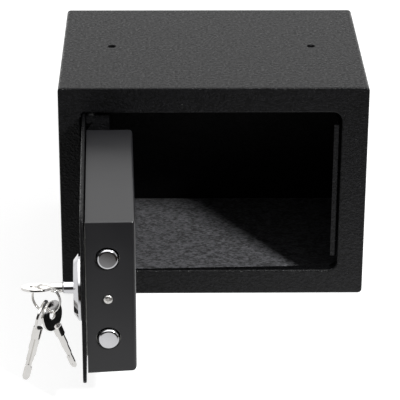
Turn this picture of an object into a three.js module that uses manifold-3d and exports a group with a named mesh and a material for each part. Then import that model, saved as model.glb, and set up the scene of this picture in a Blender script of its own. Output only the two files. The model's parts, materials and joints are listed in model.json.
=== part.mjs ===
// Home safe: a folded steel cabinet, a hinged door with two round bolts worked by a key lock,
// and two spare keys that hang on a split ring from the key in the lock.
// Millimetres, +Z up, the front faces -Y, origin in the middle of the base.
// The door stands open, and the key has not quite reached its stop.
import * as THREE from 'three';
import { mergeVertices } from 'three/addons/utils/BufferGeometryUtils.js';
import Module from 'manifold-3d';

const wasm = await Module();
wasm.setup();
const degrees = Math.PI / 180;

// Cabinet
const width = 230;
const depth = 170;
const height = 170;
const sheet = 2;
const cabinetEdgeRadius = 3;
const frontBend = 1.2;
const leastRadius = 0.5;
const hingeMargin = 17;
const lockMargin = 20;
const topMargin = 20;
const bottomMargin = 20;
const openingRadius = 6.5;
const hingeCornerRadius = 1;
const topHoleDiameter = 6;
const topHoleSpacing = 154;
const topHoleSetback = 87.5;
const backHoleDiameter = 8;
const backHoleSpacing = 130;
const backHoleHeight = 115;
const matThickness = 2.5;
const matClearance = 1.2;

// Door
const openAngle = 88.4;
const hingeGap = 2.5;
const lockGap = 2;
const edgeGap = 1;
const plateThickness = 2.5;
const plateRadius = 7;
const plateEdge = 0.5;
const pivotInset = 4.4;
const pivotDepth = 6.5;
const doorThickness = 37;
const coverSheet = 1.2;
const coverGap = 1;
const coverLockInset = 6.8;
const coverHingeInset = 24;
const coverEndInset = 6.5;
const coverBend = 3;
const coverLowBend = 2.8;
const coverHighBend = 2;
const coverEdge = 0.7;
const coverTaper = 1.5;
const weldGap = 0.3;

// Hinge
const pinDiameter = 4.8;
const pinClearance = 0.3;
const pinLength = 17;
const lugSheet = 1.6;
const lugEndGap = 2;
const lugReach = 14.5;
const lugDepth = 20.2;
const lugHeight = 27;
const lugShoulder = 6;
const lugShoulderHeight = 7.8;
const lugPinMargin = 1.8;
const bracketSheet = 1.6;
const bracketWidth = 25;
const bracketReach = 12;
const bracketHeight = 14;
const washerDiameter = 7.6;

// Boltwork
const boltDiameter = 15;
const boltSpacing = 60.5;
const boltDepth = 18;
const boltLength = 42;
const boltProtrusion = 2.3;
const boltThrow = 14;
const boltChamfer = 1.1;
const boltClearance = 0.6;
const coverHoleClearance = 0.9;
const carriageBar = 4;
const carriagePlate = 2;
const chassisSheet = 1.8;
const chassisEndMargin = 14;
const chassisLip = 1.8;
const chassisClearance = 0.4;
const boltScrewDiameter = 5;
const boltTapDepth = 10;

// Keeper
const keeperSheet = 1.5;
const keeperLength = 108;
const keeperStopWidth = 4.5;
const keeperJambGap = 0.7;
const keeperDepth = 34;
const keeperFoot = 10;

// Lock
const lockInset = 24.9;
const rosetteDiameter = 46;
const rosetteHeight = 5;
const rosetteRim = 1.8;
const rosetteChamfer = 4.4;
const rosetteWall = 1.4;
const noseDiameter = 8.2;
const noseLength = 7.5;
const lockBarrelDiameter = 18.8;
const lockBarrelEnd = 25;
const lockNutWidth = 24;
const lockNutHeight = 4;
const lockRunning = 0.3;
const keyTurn = 90;
const camThickness = 2.5;
const camWidth = 8;
const camHubWall = 3;
const drivePinDiameter = 4;
const drivePlay = 0.8;
const drivePinEnd = 1;
const camScrewDiameter = 3;
const camScrewHeadDiameter = 10;
const camScrewLength = 5.7;
const camScrewTap = 7.5;

// Keys
const bowLength = 21.3;
const bowWidth = 22;
const bowThickness = 1.8;
const bowEdge = 0.25;
const bowHoleDiameter = 6.4;
const bowHoleInset = 9.6;
const keyBarrelDiameter = 6.8;
const keyBarrelLength = 7.3;
const bladeLength = 32.5;
const bladeWidth = 6.4;
const bladeThickness = 2;
const bladeNose = 11;
const bladeTip = 2.4;
const bladeTipWidth = 2.6;
const bladeGroove = 1.2;
const bladeGrooveDepth = 0.4;
const bladeGrooveEnd = 11.6;
const bladeCuts = [0.1, 0.3, 0.2, 0.8, 1.3, 0.4];
const bladeRearCuts = [0.3, 0.1, 0.6, 0.5, 1, 0.8];
const bladeCutSlope = 0.9;
const dimpleDiameter = 1.3;
const dimpleDepth = 0.4;
const dimpleInset = 3.6;
const dimpleSpacing = 7;
const keyFit = 0.3;

// Split ring and spare keys
const ringRadius = 10.5;
const ringWire = 1;
const ringCoilGap = 0.45;
const ringTurns = 1.9;
const ringDrop = 7;
const ringSkew = 21;
const ringPlay = 0.4;
const keyHang = 1.8;
const leftKey = { place: -18, lean: -14.5, setback: -4, turn: 173 };
const rightKey = { place: 17, lean: 16.5, setback: 14.5, turn: 8 };

// Screws
const screwHeadDiameter = 6.4;
const screwHeadHeight = 1.8;
const screwHeadSide = 0.7;
const screwShankDiameter = 3.6;
const screwLength = 7;
const screwClearance = 0.3;
const screwSlot = 1;
const screwSlotLength = 3.8;
const screwSlotDepth = 1.1;

// How far a cutting solid runs past what it cuts
const over = 1;

// Places worked out from the sizes
const front = -depth / 2;
const back = depth / 2;
const left = -width / 2;
const right = width / 2;
const openingLeft = left + hingeMargin;
const openingRight = right - lockMargin;
const openingBottom = bottomMargin;
const openingTop = height - topMargin;
const middle = (openingBottom + openingTop) / 2;
const openingHalf = (openingTop - openingBottom) / 2;
const plateLeft = openingLeft + hingeGap;
const plateRight = openingRight - lockGap;
const plateHalf = openingHalf - edgeGap;
const pivotX = plateLeft + pivotInset;
const pivotY = front + pivotDepth;
const inner = front + plateThickness + weldGap;
const coverLeft = plateLeft + coverHingeInset;
const coverRight = plateRight - coverLockInset;
const coverFront = front + plateThickness + coverGap;
const coverBack = front + doorThickness;
const coverHalf = plateHalf - coverEndInset;
const boltY = front + boltDepth;
const boltEnd = coverRight + boltProtrusion;
const boltStart = boltEnd - boltLength;
const boltRadius = boltDiameter / 2;
const chassisRight = coverRight - coverSheet - weldGap;
const lockX = plateRight - lockInset;
const lockBack = front + lockBarrelEnd;
const rosetteFace = front - weldGap - rosetteHeight;
const noseEnd = rosetteFace - noseLength;
const restTurn = (keyTurn * boltProtrusion) / boltThrow;
const camRadius = boltThrow / 2 / Math.sin((keyTurn / 2) * degrees);

// Materials
const paint = (color, roughness, metalness = 0) =>
  new THREE.MeshStandardMaterial({ color, roughness, metalness });
const cabinetPaint = paint(0x1c1c1e, 0.55);
const doorPaint = paint(0x242427, 0.4);
const chrome = paint(0xd2d2d4, 0.12, 1);
const nickel = paint(0xc8c6c0, 0.22, 1);
const zinc = paint(0xa9aaa6, 0.38, 1);
const blackZinc = paint(0x2a2a2c, 0.45, 0.6);
const felt = paint(0x3c3c3f, 0.95);
const nylon = paint(0x161617, 0.5);

// A closed three.js geometry as a solid, and back
function solid(geometry) {
  const bare = geometry.index ? geometry.toNonIndexed() : geometry;
  bare.deleteAttribute('normal');
  bare.deleteAttribute('uv');
  const merged = mergeVertices(bare, 1e-4);
  const corners = merged.index.array;
  const faces = [];
  for (let i = 0; i < corners.length; i += 3) {
    const [a, b, c] = corners.slice(i, i + 3);
    if (a !== b && b !== c && c !== a) faces.push(a, b, c);
  }
  return new wasm.Manifold(new wasm.Mesh({
    numProp: 3,
    vertProperties: new Float32Array(merged.attributes.position.array),
    triVerts: new Uint32Array(faces),
  }));
}

function geometryOf(body) {
  const mesh = body.getMesh();
  const geometry = new THREE.BufferGeometry();
  geometry.setAttribute('position', new THREE.BufferAttribute(mesh.vertProperties, 3));
  geometry.setIndex(new THREE.BufferAttribute(mesh.triVerts, 1));
  geometry.computeVertexNormals();
  return geometry;
}

const cut = (body, ...tools) => tools.reduce((rest, tool) => rest.subtract(tool), body);
const shared = (body, other) => body.intersect(other);
const join = (body, ...others) => others.reduce((sum, other) => sum.add(other), body);

// Shapes
function box(x0, x1, y0, y1, z0, z1) {
  const geometry = new THREE.BoxGeometry(Math.abs(x1 - x0), Math.abs(y1 - y0), Math.abs(z1 - z0));
  return solid(geometry.translate((x0 + x1) / 2, (y0 + y1) / 2, (z0 + z1) / 2));
}

const turns = {
  x: (geometry) => geometry.rotateZ(-Math.PI / 2),
  y: (geometry) => geometry,
  z: (geometry) => geometry.rotateX(Math.PI / 2),
};

function rod(axis, radius, from, to, centre, sides = 24) {
  const geometry = new THREE.CylinderGeometry(radius, radius, Math.abs(to - from), sides);
  const along = (from + to) / 2;
  const place = { x: [along, ...centre], y: [centre[0], along, centre[1]], z: [...centre, along] };
  return solid(turns[axis](geometry).translate(...place[axis]));
}

// A profile of [radius, distance] pairs from the low end on the axis to the high end on it,
// turned about an axis along +X or +Y
function turned(axis, profile, centre, sides = 32) {
  const points = profile.map(([radius, along]) => new THREE.Vector2(radius, along));
  const geometry = new THREE.LatheGeometry(points, sides);
  const place = { x: [0, ...centre], y: [centre[0], 0, centre[1]] };
  return solid(turns[axis](geometry).translate(...place[axis]));
}

function roundedRect(x0, x1, y0, y1, radius, leftRadius = radius) {
  const shape = new THREE.Shape();
  shape.absarc(x1 - radius, y1 - radius, radius, 0, Math.PI / 2);
  shape.absarc(x0 + leftRadius, y1 - leftRadius, leftRadius, Math.PI / 2, Math.PI);
  shape.absarc(x0 + leftRadius, y0 + leftRadius, leftRadius, Math.PI, Math.PI * 1.5);
  shape.absarc(x1 - radius, y0 + radius, radius, Math.PI * 1.5, Math.PI * 2);
  shape.closePath();
  return shape;
}

function polygon(points) {
  return new THREE.Shape(points.map(([x, y]) => new THREE.Vector2(x, y)));
}

function extruded(shape, from, to, bevel, curveSegments, bevelSegments = 1) {
  const settings = {
    depth: to - from - 2 * bevel,
    bevelEnabled: bevel > 0,
    bevelThickness: bevel,
    bevelSize: bevel,
    bevelOffset: -bevel,
    bevelSegments,
    curveSegments,
  };
  return new THREE.ExtrudeGeometry(shape, settings).translate(0, 0, from + bevel);
}

// An outline in X and Z given a thickness along Y
function slab(shape, y0, y1, bevel = 0, curveSegments = 6, bevelSegments = 1) {
  return solid(extruded(shape, -y1, -y0, bevel, curveSegments, bevelSegments).rotateX(Math.PI / 2));
}

// An outline in X and Y given a height along Z
function prism(shape, z0, z1, bevel = 0, curveSegments = 6) {
  return solid(extruded(shape, z0, z1, bevel, curveSegments));
}

// An outline in Y and Z given a length along X
function rail(shape, x0, x1, bevel = 0, bevelSegments = 1) {
  const geometry = extruded(shape, x0, x1, bevel, 6, bevelSegments);
  return solid(geometry.rotateZ(Math.PI / 2).rotateY(Math.PI / 2));
}

function piece(group, name, body, material) {
  const mesh = new THREE.Mesh(geometryOf(body), material);
  mesh.name = name;
  group.add(mesh);
  return mesh;
}

// Cabinet
const safe = new THREE.Group();
const cabinet = new THREE.Group();
safe.add(cabinet);

function cabinetWrap() {
  const outline = roundedRect(left, right, 0, height, cabinetEdgeRadius);
  const inside = roundedRect(left + sheet, right - sheet, sheet, height - sheet,
    Math.max(cabinetEdgeRadius - sheet, leastRadius));
  const tube = cut(slab(outline, front + sheet, back), slab(inside, front, back + sheet));
  const holes = [-1, 1].map((side) => rod('z', topHoleDiameter / 2, height - 2 * sheet,
    height + sheet, [(side * topHoleSpacing) / 2, front + topHoleSetback]));
  return cut(tube, ...holes);
}

function frontFrame() {
  const outline = roundedRect(left, right, 0, height, cabinetEdgeRadius);
  const opening = roundedRect(openingLeft, openingRight, openingBottom, openingTop, openingRadius,
    hingeCornerRadius);
  const bent = slab(outline, front, front + sheet + frontBend, frontBend, 6, 3);
  const behind = box(left, right, front + sheet, front + 2 * (sheet + frontBend), 0, height);
  return cut(bent, behind, slab(opening, front - over, front + sheet + over));
}

function backPanel() {
  const outline = roundedRect(left + sheet + weldGap, right - sheet - weldGap, sheet + weldGap,
    height - sheet - weldGap, Math.max(cabinetEdgeRadius - sheet, leastRadius));
  const holes = [-1, 1].map((side) => rod('y', backHoleDiameter / 2, back - 2 * sheet,
    back + sheet, [(side * backHoleSpacing) / 2, backHoleHeight]));
  return cut(slab(outline, back - sheet, back), ...holes);
}

function floorMat() {
  return box(left + sheet + matClearance, right - sheet - matClearance,
    front + sheet + matClearance, back - sheet - matClearance, sheet, sheet + matThickness);
}

// The keeper is a folded strip on the lock side: its front flange stops the door, its web has
// a hole for each bolt, and its foot is welded to the side wall
function keeper() {
  const stopFront = front + plateThickness + weldGap;
  const web = openingRight - keeperJambGap;
  const wall = right - sheet;
  const low = middle - keeperLength / 2;
  const high = middle + keeperLength / 2;
  const end = stopFront + keeperDepth;
  const section = polygon([
    [web - keeperStopWidth, stopFront],
    [web, stopFront],
    [web, end - keeperSheet],
    [wall - keeperSheet, end - keeperSheet],
    [wall - keeperSheet, end - keeperSheet - keeperFoot],
    [wall, end - keeperSheet - keeperFoot],
    [wall, end],
    [web - keeperSheet, end],
    [web - keeperSheet, stopFront + keeperSheet],
    [web - keeperStopWidth, stopFront + keeperSheet],
  ]);
  const holes = [-1, 1].map((side) => rod('x', boltRadius + boltClearance, web - keeperSheet - over,
    web + over, [boltY, middle + (side * boltSpacing) / 2]));
  return cut(prism(section, low, high), ...holes);
}

// The cabinet's hinge bracket is an angle behind the front sheet, past the end of the door
const lugEnd = plateHalf - lugEndGap;
const bracketStart = openingHalf + sheet / 2;
function hingeBracket(side) {
  const near = middle + side * bracketStart;
  const leaf = middle + side * (bracketStart + bracketSheet);
  const far = middle + side * (bracketStart + bracketHeight);
  const x0 = pivotX - bracketWidth / 2;
  const x1 = pivotX + bracketWidth / 2;
  const y0 = front + sheet;
  const foot = box(x0, x1, y0, y0 + bracketSheet, near, far);
  const shelf = box(x0, x1, y0, y0 + bracketReach, near, leaf);
  const hole = rod('z', pinDiameter / 2 + pinClearance, near - side * over, leaf + side * over,
    [pivotX, pivotY]);
  return cut(join(foot, shelf), hole);
}

function hingePin(side) {
  const end = middle + side * (bracketStart + 2 * bracketSheet);
  return rod('z', pinDiameter / 2, end, end - side * pinLength, [pivotX, pivotY]);
}

function hingeWasher(side) {
  const low = middle + side * (lugEnd + pinClearance);
  const high = middle + side * (bracketStart - pinClearance);
  return cut(rod('z', washerDiameter / 2, low, high, [pivotX, pivotY]),
    rod('z', pinDiameter / 2 + pinClearance, low - side * over, high + side * over, [pivotX, pivotY]));
}

piece(cabinet, 'cabinet_wrap', cabinetWrap(), cabinetPaint);
piece(cabinet, 'front_frame', frontFrame(), cabinetPaint);
piece(cabinet, 'back_panel', backPanel(), cabinetPaint);
piece(cabinet, 'floor_mat', floorMat(), felt);
piece(cabinet, 'bolt_keeper', keeper(), cabinetPaint);
for (const [name, side] of [['upper', 1], ['lower', -1]]) {
  piece(cabinet, `${name}_hinge_bracket`, hingeBracket(side), cabinetPaint);
  piece(cabinet, `${name}_hinge_pin`, hingePin(side), zinc);
  piece(cabinet, `${name}_hinge_washer`, hingeWasher(side), nylon);
}

// Door: its pieces are modelled where they lie with the door shut, then turned about the pivot
const doorPivot = new THREE.Group();
doorPivot.position.set(pivotX, pivotY, 0);
doorPivot.rotation.z = -openAngle * degrees;
const door = new THREE.Group();
door.position.set(-pivotX, -pivotY, 0);
doorPivot.add(door);
safe.add(doorPivot);

function doorPlate() {
  const outline = roundedRect(plateLeft, plateRight, middle - plateHalf, middle + plateHalf,
    plateRadius);
  const hole = rod('y', lockBarrelDiameter / 2 + weldGap, front - over, front + plateThickness + over,
    [lockX, middle]);
  return cut(slab(outline, front, front + plateThickness, plateEdge, 8, 2), hole);
}

// The cover is a pan. Seen from its end, its back edges are bent round. Seen from its side, its
// lower end rises to the back and ends in a larger bend than its upper end.
function endOutline(inset, y0) {
  const x0 = coverLeft + inset;
  const x1 = coverRight - inset;
  const y1 = coverBack - inset;
  const bend = coverBend - inset;
  const shape = new THREE.Shape();
  shape.moveTo(x0, y0);
  shape.lineTo(x1, y0);
  shape.absarc(x1 - bend, y1 - bend, bend, 0, Math.PI / 2);
  shape.absarc(x0 + bend, y1 - bend, bend, Math.PI / 2, Math.PI);
  shape.closePath();
  return shape;
}

function sideOutline(inset, y0) {
  const low = middle - coverHalf + inset;
  const high = middle + coverHalf - inset;
  const y1 = coverBack - inset;
  const lowBend = coverLowBend - inset;
  const highBend = coverHighBend - inset;
  const shape = new THREE.Shape();
  shape.absarc(y1 - lowBend, low + coverTaper + lowBend, lowBend, -Math.PI / 2, 0);
  shape.absarc(y1 - highBend, high - highBend, highBend, 0, Math.PI / 2);
  shape.lineTo(y0, high);
  shape.lineTo(y0, low);
  shape.closePath();
  return shape;
}

function doorCover() {
  const low = middle - coverHalf;
  const high = middle + coverHalf;
  const rim = coverFront - coverEdge;
  const outer = shared(prism(endOutline(0, coverFront), low, high),
    rail(sideOutline(0, rim - coverEdge), coverLeft, coverRight, coverEdge, 2));
  const hollow = shared(prism(endOutline(coverSheet, rim), low, high),
    rail(sideOutline(coverSheet, rim), coverLeft + coverSheet, coverRight - coverSheet));
  const boltHoles = [-1, 1].map((side) => rod('x', boltRadius + coverHoleClearance,
    coverRight - coverSheet - over, coverRight + over, [boltY, middle + (side * boltSpacing) / 2], 32));
  const screwHoles = [coverLeft, coverRight].map((x) => rod('x', screwShankDiameter / 2 + screwClearance,
    x - coverSheet - over, x + coverSheet + over, [boltY, middle]));
  return cut(outer, hollow, ...boltHoles, ...screwHoles);
}

// The door's hinge lug is an angle: a web on the plate's inner face, and a leaf for the pin
function hingeLug(side) {
  const end = middle + side * lugEnd;
  const root = middle + side * (lugEnd - lugHeight);
  const webX = pivotX + lugReach;
  const y1 = front + lugDepth;
  const shoulder = inner + lugShoulder;
  const web = rail(polygon([[inner, root], [y1, root], [y1, end], [shoulder, end],
    [inner, end - side * lugShoulderHeight]]), webX - lugSheet, webX);
  const leafBox = box(pivotX - pinDiameter / 2 - lugPinMargin, webX, front + pivotDepth - 2 * lugSheet,
    y1, end, end - side * lugSheet);
  const hole = rod('z', pinDiameter / 2 + pinClearance, end - side * (lugSheet + over),
    end + side * over, [pivotX, pivotY]);
  const foot = box(webX - 2 * lugSheet - lugShoulder, webX, inner, inner + lugSheet, root,
    end - side * lugShoulderHeight);
  return cut(join(web, leafBox, foot), hole);
}

function coverScrew(side) {
  const seat = side > 0 ? coverRight + weldGap : coverLeft - weldGap;
  const head = seat + side * screwHeadHeight;
  const tip = seat - side * screwLength;
  const radius = screwHeadDiameter / 2;
  const crown = [0, 1, 2, 3].map((step) => (step / 4) * (Math.PI / 2)).map((angle) => [
    radius * Math.cos(angle),
    screwHeadSide + (screwHeadHeight - screwHeadSide) * Math.sin(angle),
  ]);
  const profile = [[0, 0], [radius, 0], ...crown, [0, screwHeadHeight]];
  const along = profile.map(([r, d]) => [r, seat + side * d]);
  const pan = turned('x', side > 0 ? along : along.reverse(), [boltY, middle], 20);
  const shank = rod('x', screwShankDiameter / 2, seat, tip, [boltY, middle], 12);
  const inHead = head - side * screwSlotDepth;
  const half = screwSlot / 2;
  const reach = screwSlotLength / 2;
  const crossA = box(inHead, head + side * over, boltY - half, boltY + half, middle - reach, middle + reach);
  const crossB = box(inHead, head + side * over, boltY - reach, boltY + reach, middle - half, middle + half);
  return cut(join(pan, shank), crossA, crossB);
}

// The chassis is a folded channel on the plate's inner face that guides both bolts
const nutCorner = lockNutWidth / 2 / Math.cos(Math.PI / 6);
const chassisLeft = boltStart + boltThrow - boltProtrusion + chassisClearance;
function lockChassis() {
  const half = boltSpacing / 2 + chassisEndMargin;
  const top = boltY + boltRadius + chassisLip;
  const low = middle - half;
  const high = middle + half;
  const base = box(chassisLeft, chassisRight, inner, inner + chassisSheet, low, high);
  const lockWall = box(chassisRight - chassisSheet, chassisRight, inner, top, low, high);
  const ears = [low, high].map((end) => box(chassisLeft, chassisLeft + chassisSheet, inner, top, end,
    end + Math.sign(middle - end) * 2 * chassisEndMargin));
  const nutHole = rod('y', nutCorner + boltClearance, inner - over, inner + chassisSheet + over,
    [lockX, middle], 32);
  const boltHoles = [-1, 1].map((side) => rod('x', boltRadius + boltClearance, chassisLeft - over,
    chassisRight + over, [boltY, middle + (side * boltSpacing) / 2], 32));
  const screwHole = rod('x', screwShankDiameter / 2 + screwClearance,
    chassisRight - chassisSheet - over, chassisRight + over, [boltY, middle]);
  return cut(join(base, lockWall, ...ears), nutHole, screwHole, ...boltHoles);
}

// The cover's hinge end is held by a screw in a small angle on the plate
function coverBracket() {
  const x0 = coverLeft + coverSheet + weldGap;
  const wall = box(x0, x0 + chassisSheet, inner, boltY + screwHeadDiameter, middle - chassisEndMargin,
    middle + chassisEndMargin);
  const foot = box(x0, x0 + chassisEndMargin, inner, inner + chassisSheet,
    middle - chassisEndMargin, middle + chassisEndMargin);
  const hole = rod('x', screwShankDiameter / 2 + screwClearance, x0 - over,
    x0 + chassisSheet + over, [boltY, middle]);
  return cut(join(wall, foot), hole);
}

piece(door, 'door_plate', doorPlate(), cabinetPaint);
piece(door, 'door_cover', doorCover(), doorPaint);
piece(door, 'upper_hinge_lug', hingeLug(1), cabinetPaint);
piece(door, 'lower_hinge_lug', hingeLug(-1), cabinetPaint);
piece(door, 'lock_chassis', lockChassis(), zinc);
piece(door, 'cover_bracket', coverBracket(), zinc);
piece(door, 'lock_side_screw', coverScrew(1), nickel);
piece(door, 'hinge_side_screw', coverScrew(-1), nickel);

// Lock: a rosette on the plate, a threaded barrel through it, and a nut behind it
function rosette() {
  const low = front - weldGap;
  const radius = rosetteDiameter / 2;
  const disc = turned('y', [[0, rosetteFace], [radius - rosetteChamfer, rosetteFace],
    [radius, low - rosetteRim], [radius, low], [0, low]], [lockX, middle], 48);
  const hollow = rod('y', lockBarrelDiameter / 2 + lockRunning, rosetteFace + rosetteWall, low + over,
    [lockX, middle]);
  const bore = rod('y', noseDiameter / 2 + lockRunning, rosetteFace - over, low, [lockX, middle]);
  return cut(disc, hollow, bore);
}

function lockBarrel() {
  const body = rod('y', lockBarrelDiameter / 2, rosetteFace + rosetteWall + lockRunning, lockBack,
    [lockX, middle], 32);
  const bore = rod('y', noseDiameter / 2 + lockRunning, rosetteFace, lockBack + over,
    [lockX, middle]);
  return cut(body, bore);
}

function lockNut() {
  const y1 = inner + lockNutHeight;
  return cut(rod('y', nutCorner, inner, y1, [lockX, middle], 6),
    rod('y', lockBarrelDiameter / 2 + lockRunning, inner - over, y1 + over, [lockX, middle]));
}

piece(door, 'lock_rosette', rosette(), chrome);
piece(door, 'lock_barrel', lockBarrel(), zinc);
piece(door, 'lock_nut', lockNut(), zinc);

// Bolts: two round bars that a carriage joins, thrown together towards +X
const bolts = new THREE.Group();
door.add(bolts);

function bolt(side) {
  const z = middle + (side * boltSpacing) / 2;
  const body = turned('x', [[0, boltStart], [boltRadius, boltStart], [boltRadius, boltEnd - boltChamfer],
    [boltRadius - boltChamfer, boltEnd], [0, boltEnd]], [boltY, z], 40);
  return cut(body, rod('x', boltScrewDiameter / 2 + boltClearance, boltStart - over,
    boltStart + boltTapDepth, [boltY, z], 12));
}

function boltScrew(side) {
  const z = middle + (side * boltSpacing) / 2;
  const seat = boltStart - weldGap - carriageBar - weldGap;
  return join(rod('x', boltScrewDiameter / 2, seat, boltStart + boltScrewDiameter, [boltY, z], 12),
    rod('x', boltScrewDiameter, seat - boltScrewDiameter / 2, seat, [boltY, z], 6));
}

// The drive pin swings below the lock's axis, in a fork of the carriage
const pinAngle = (restTurn - keyTurn / 2) * degrees;
const drivePinX = lockX + camRadius * Math.sin(pinAngle);
const drivePinZ = middle - camRadius * Math.cos(pinAngle);
const camFront = lockBack + lockRunning;
const plateFront = camFront + camThickness + lockRunning;
function boltCarriage() {
  const x1 = boltStart - weldGap;
  const x0 = x1 - carriageBar;
  const half = boltSpacing / 2 + boltRadius;
  const plateBack = plateFront + carriagePlate;
  const bar = box(x0, x1, boltY - boltRadius, plateBack, middle - half, middle + half);
  const slotHalf = drivePinDiameter / 2 + drivePlay;
  const low = middle - camRadius - slotHalf;
  const tips = middle - camRadius * Math.cos((keyTurn / 2) * degrees) + drivePinDiameter / 4;
  const arm = box(x0, drivePinX + slotHalf + camWidth / 2, plateFront, plateBack,
    low - camWidth / 2, tips);
  const slot = slab(roundedRect(drivePinX - slotHalf, drivePinX + slotHalf, low, tips + camWidth,
    drivePinDiameter / 2), plateFront - over, plateBack + over);
  const holes = [-1, 1].map((side) => rod('x', boltScrewDiameter / 2 + boltClearance, x0 - over,
    x1 + over, [boltY, middle + (side * boltSpacing) / 2], 12));
  return cut(join(bar, arm), slot, ...holes);
}

piece(bolts, 'upper_bolt', bolt(1), chrome);
piece(bolts, 'lower_bolt', bolt(-1), chrome);
piece(bolts, 'bolt_carriage', boltCarriage(), zinc);
piece(bolts, 'upper_bolt_screw', boltScrew(1), blackZinc);
piece(bolts, 'lower_bolt_screw', boltScrew(-1), blackZinc);

// A key, its bow hole at the origin, its bow in X and Y, and its blade along +Y and square to the
// bow. Each edge of the blade has a row of cuts, whose last depth is its nose's.
const bowBack = -bowHoleInset;
const bowEnd = bowLength - bowHoleInset;
const bladeStart = bowEnd + keyBarrelLength;
const keyEnd = bladeStart + bladeLength;
function bladeEdge(depths, side) {
  const half = bladeWidth / 2;
  const nose = depths.length - 1;
  const span = (bladeLength - bladeNose) / nose;
  const edge = [[side * half, bladeStart - over]];
  depths.forEach((deep, i) => {
    const from = bladeStart + i * span;
    const to = i < nose ? from + span : keyEnd - bladeTip;
    edge.push([side * (half - deep), from + bladeCutSlope], [side * (half - deep), to]);
  });
  return [...edge, [(side * bladeTipWidth) / 2, keyEnd]];
}

function keyBlade() {
  const outline = polygon([...bladeEdge(bladeCuts, 1), ...bladeEdge(bladeRearCuts, -1).reverse()]);
  const flat = prism(outline, -bladeThickness / 2, bladeThickness / 2);
  const grooves = [-1, 1].map((face) => box(-bladeGroove / 2, bladeGroove / 2, bladeStart + over,
    keyEnd - bladeGrooveEnd, face * (bladeThickness / 2 + over),
    face * (bladeThickness / 2 - bladeGrooveDepth)));
  const dimples = [0, dimpleSpacing].map((back) => rod('z', dimpleDiameter / 2,
    bladeThickness / 2 - dimpleDepth, bladeThickness / 2 + over, [0, keyEnd - dimpleInset - back], 10));
  return cut(flat, ...grooves, ...dimples).rotate([0, 90, 0]);
}

function keyBody() {
  const bowShape = new THREE.Shape();
  bowShape.absellipse(0, (bowBack + bowEnd) / 2, bowWidth / 2, bowLength / 2, 0, Math.PI * 2);
  const thin = bowThickness / 2;
  const bow = prism(bowShape, -thin, thin, bowEdge, 16);
  const hole = rod('z', bowHoleDiameter / 2, -bowThickness, bowThickness, [0, 0], 20);
  const barrel = rod('y', keyBarrelDiameter / 2, bowEnd - over, bladeStart, [0, 0], 20);
  return join(cut(bow, hole), barrel, keyBlade());
}

// The key in the lock, and what turns with it
const keyGroup = new THREE.Group();
keyGroup.position.set(lockX, noseEnd - bladeStart, middle);
keyGroup.rotation.y = -restTurn * degrees;
door.add(keyGroup);
const toKey = (y) => y - (noseEnd - bladeStart);

function lockPlug() {
  const y0 = toKey(noseEnd + keyFit);
  const y1 = toKey(camFront + camThickness - lockRunning);
  const body = rod('y', noseDiameter / 2, y0, y1, [0, 0], 32);
  const keyway = box(-bladeThickness / 2 - keyFit, bladeThickness / 2 + keyFit, y0 - over,
    keyEnd + keyFit, -bladeWidth / 2 - keyFit, bladeWidth / 2 + keyFit);
  const thread = rod('y', camScrewDiameter / 2 + lockRunning, y1 - camScrewTap, y1 + over,
    [0, 0], 12);
  return cut(body, keyway, thread);
}

// The cam points down at mid-throw, whatever way the key's bow lies
const armTurn = pinAngle - restTurn * degrees;
const pinLocalX = camRadius * Math.sin(armTurn);
const pinLocalZ = -camRadius * Math.cos(armTurn);
function lockCam() {
  const y0 = toKey(camFront);
  const y1 = y0 + camThickness;
  const hub = rod('y', noseDiameter / 2 + camHubWall, y0, y1, [0, 0], 24);
  const toe = rod('y', camWidth / 2, y0, y1, [pinLocalX, pinLocalZ], 20);
  const arm = slab(roundedRect(-camWidth / 2, camWidth / 2, -camRadius, 0, leastRadius), y0, y1)
    .rotate([0, -armTurn / degrees, 0]);
  const bore = rod('y', noseDiameter / 2 + lockRunning, y0 - over, y1 + over, [0, 0], 24);
  const pinHole = rod('y', drivePinDiameter / 2 + lockRunning / 2, y0 - over, y1 + over,
    [pinLocalX, pinLocalZ], 16);
  return cut(join(hub, toe, arm), bore, pinHole);
}

function drivePin() {
  const y0 = toKey(camFront);
  return rod('y', drivePinDiameter / 2, y0, toKey(plateFront + carriagePlate + drivePinEnd),
    [pinLocalX, pinLocalZ], 16);
}

function camScrew() {
  const seat = toKey(camFront + camThickness + lockRunning);
  const head = rod('y', camScrewHeadDiameter / 2, seat, seat + camScrewDiameter / 2, [0, 0], 16);
  return join(head, rod('y', camScrewDiameter / 2, seat - camScrewLength, seat + over, [0, 0], 12));
}

piece(keyGroup, 'key_in_lock', keyBody(), nickel);
piece(keyGroup, 'lock_plug', lockPlug(), chrome);
piece(keyGroup, 'lock_cam', lockCam(), zinc);
piece(keyGroup, 'drive_pin', drivePin(), zinc);
piece(keyGroup, 'cam_screw', camScrew(), zinc);

// The split ring threads the bow's hole, lies over the bow and comes down beside the key's barrel.
// Its group hangs from the hole with its axes square to the cabinet.
const hang = new THREE.Group();
hang.quaternion.copy(doorPivot.quaternion).multiply(keyGroup.quaternion).invert();
keyGroup.add(hang);
const skew = new THREE.Vector3(Math.cos(ringSkew * degrees), -Math.sin(ringSkew * degrees), 0);
const up = new THREE.Vector3(0, 0, 1);
const halfChord = Math.sqrt(ringRadius ** 2 - ringDrop ** 2);
const ringCentre = new THREE.Vector3(ringPlay, 0, -ringDrop).addScaledVector(skew, halfChord);

class SplitRing extends THREE.Curve {
  getPoint(share) {
    const angle = (share - 0.5) * ringTurns * Math.PI * 2 + Math.PI / 2;
    const lift = (share - 0.5) * ringTurns * (ringWire + ringCoilGap);
    const out = new THREE.Vector3().crossVectors(skew, up);
    return ringCentre.clone()
      .addScaledVector(skew, ringRadius * Math.cos(angle))
      .addScaledVector(up, ringRadius * Math.sin(angle))
      .addScaledVector(out, lift);
  }
}

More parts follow.
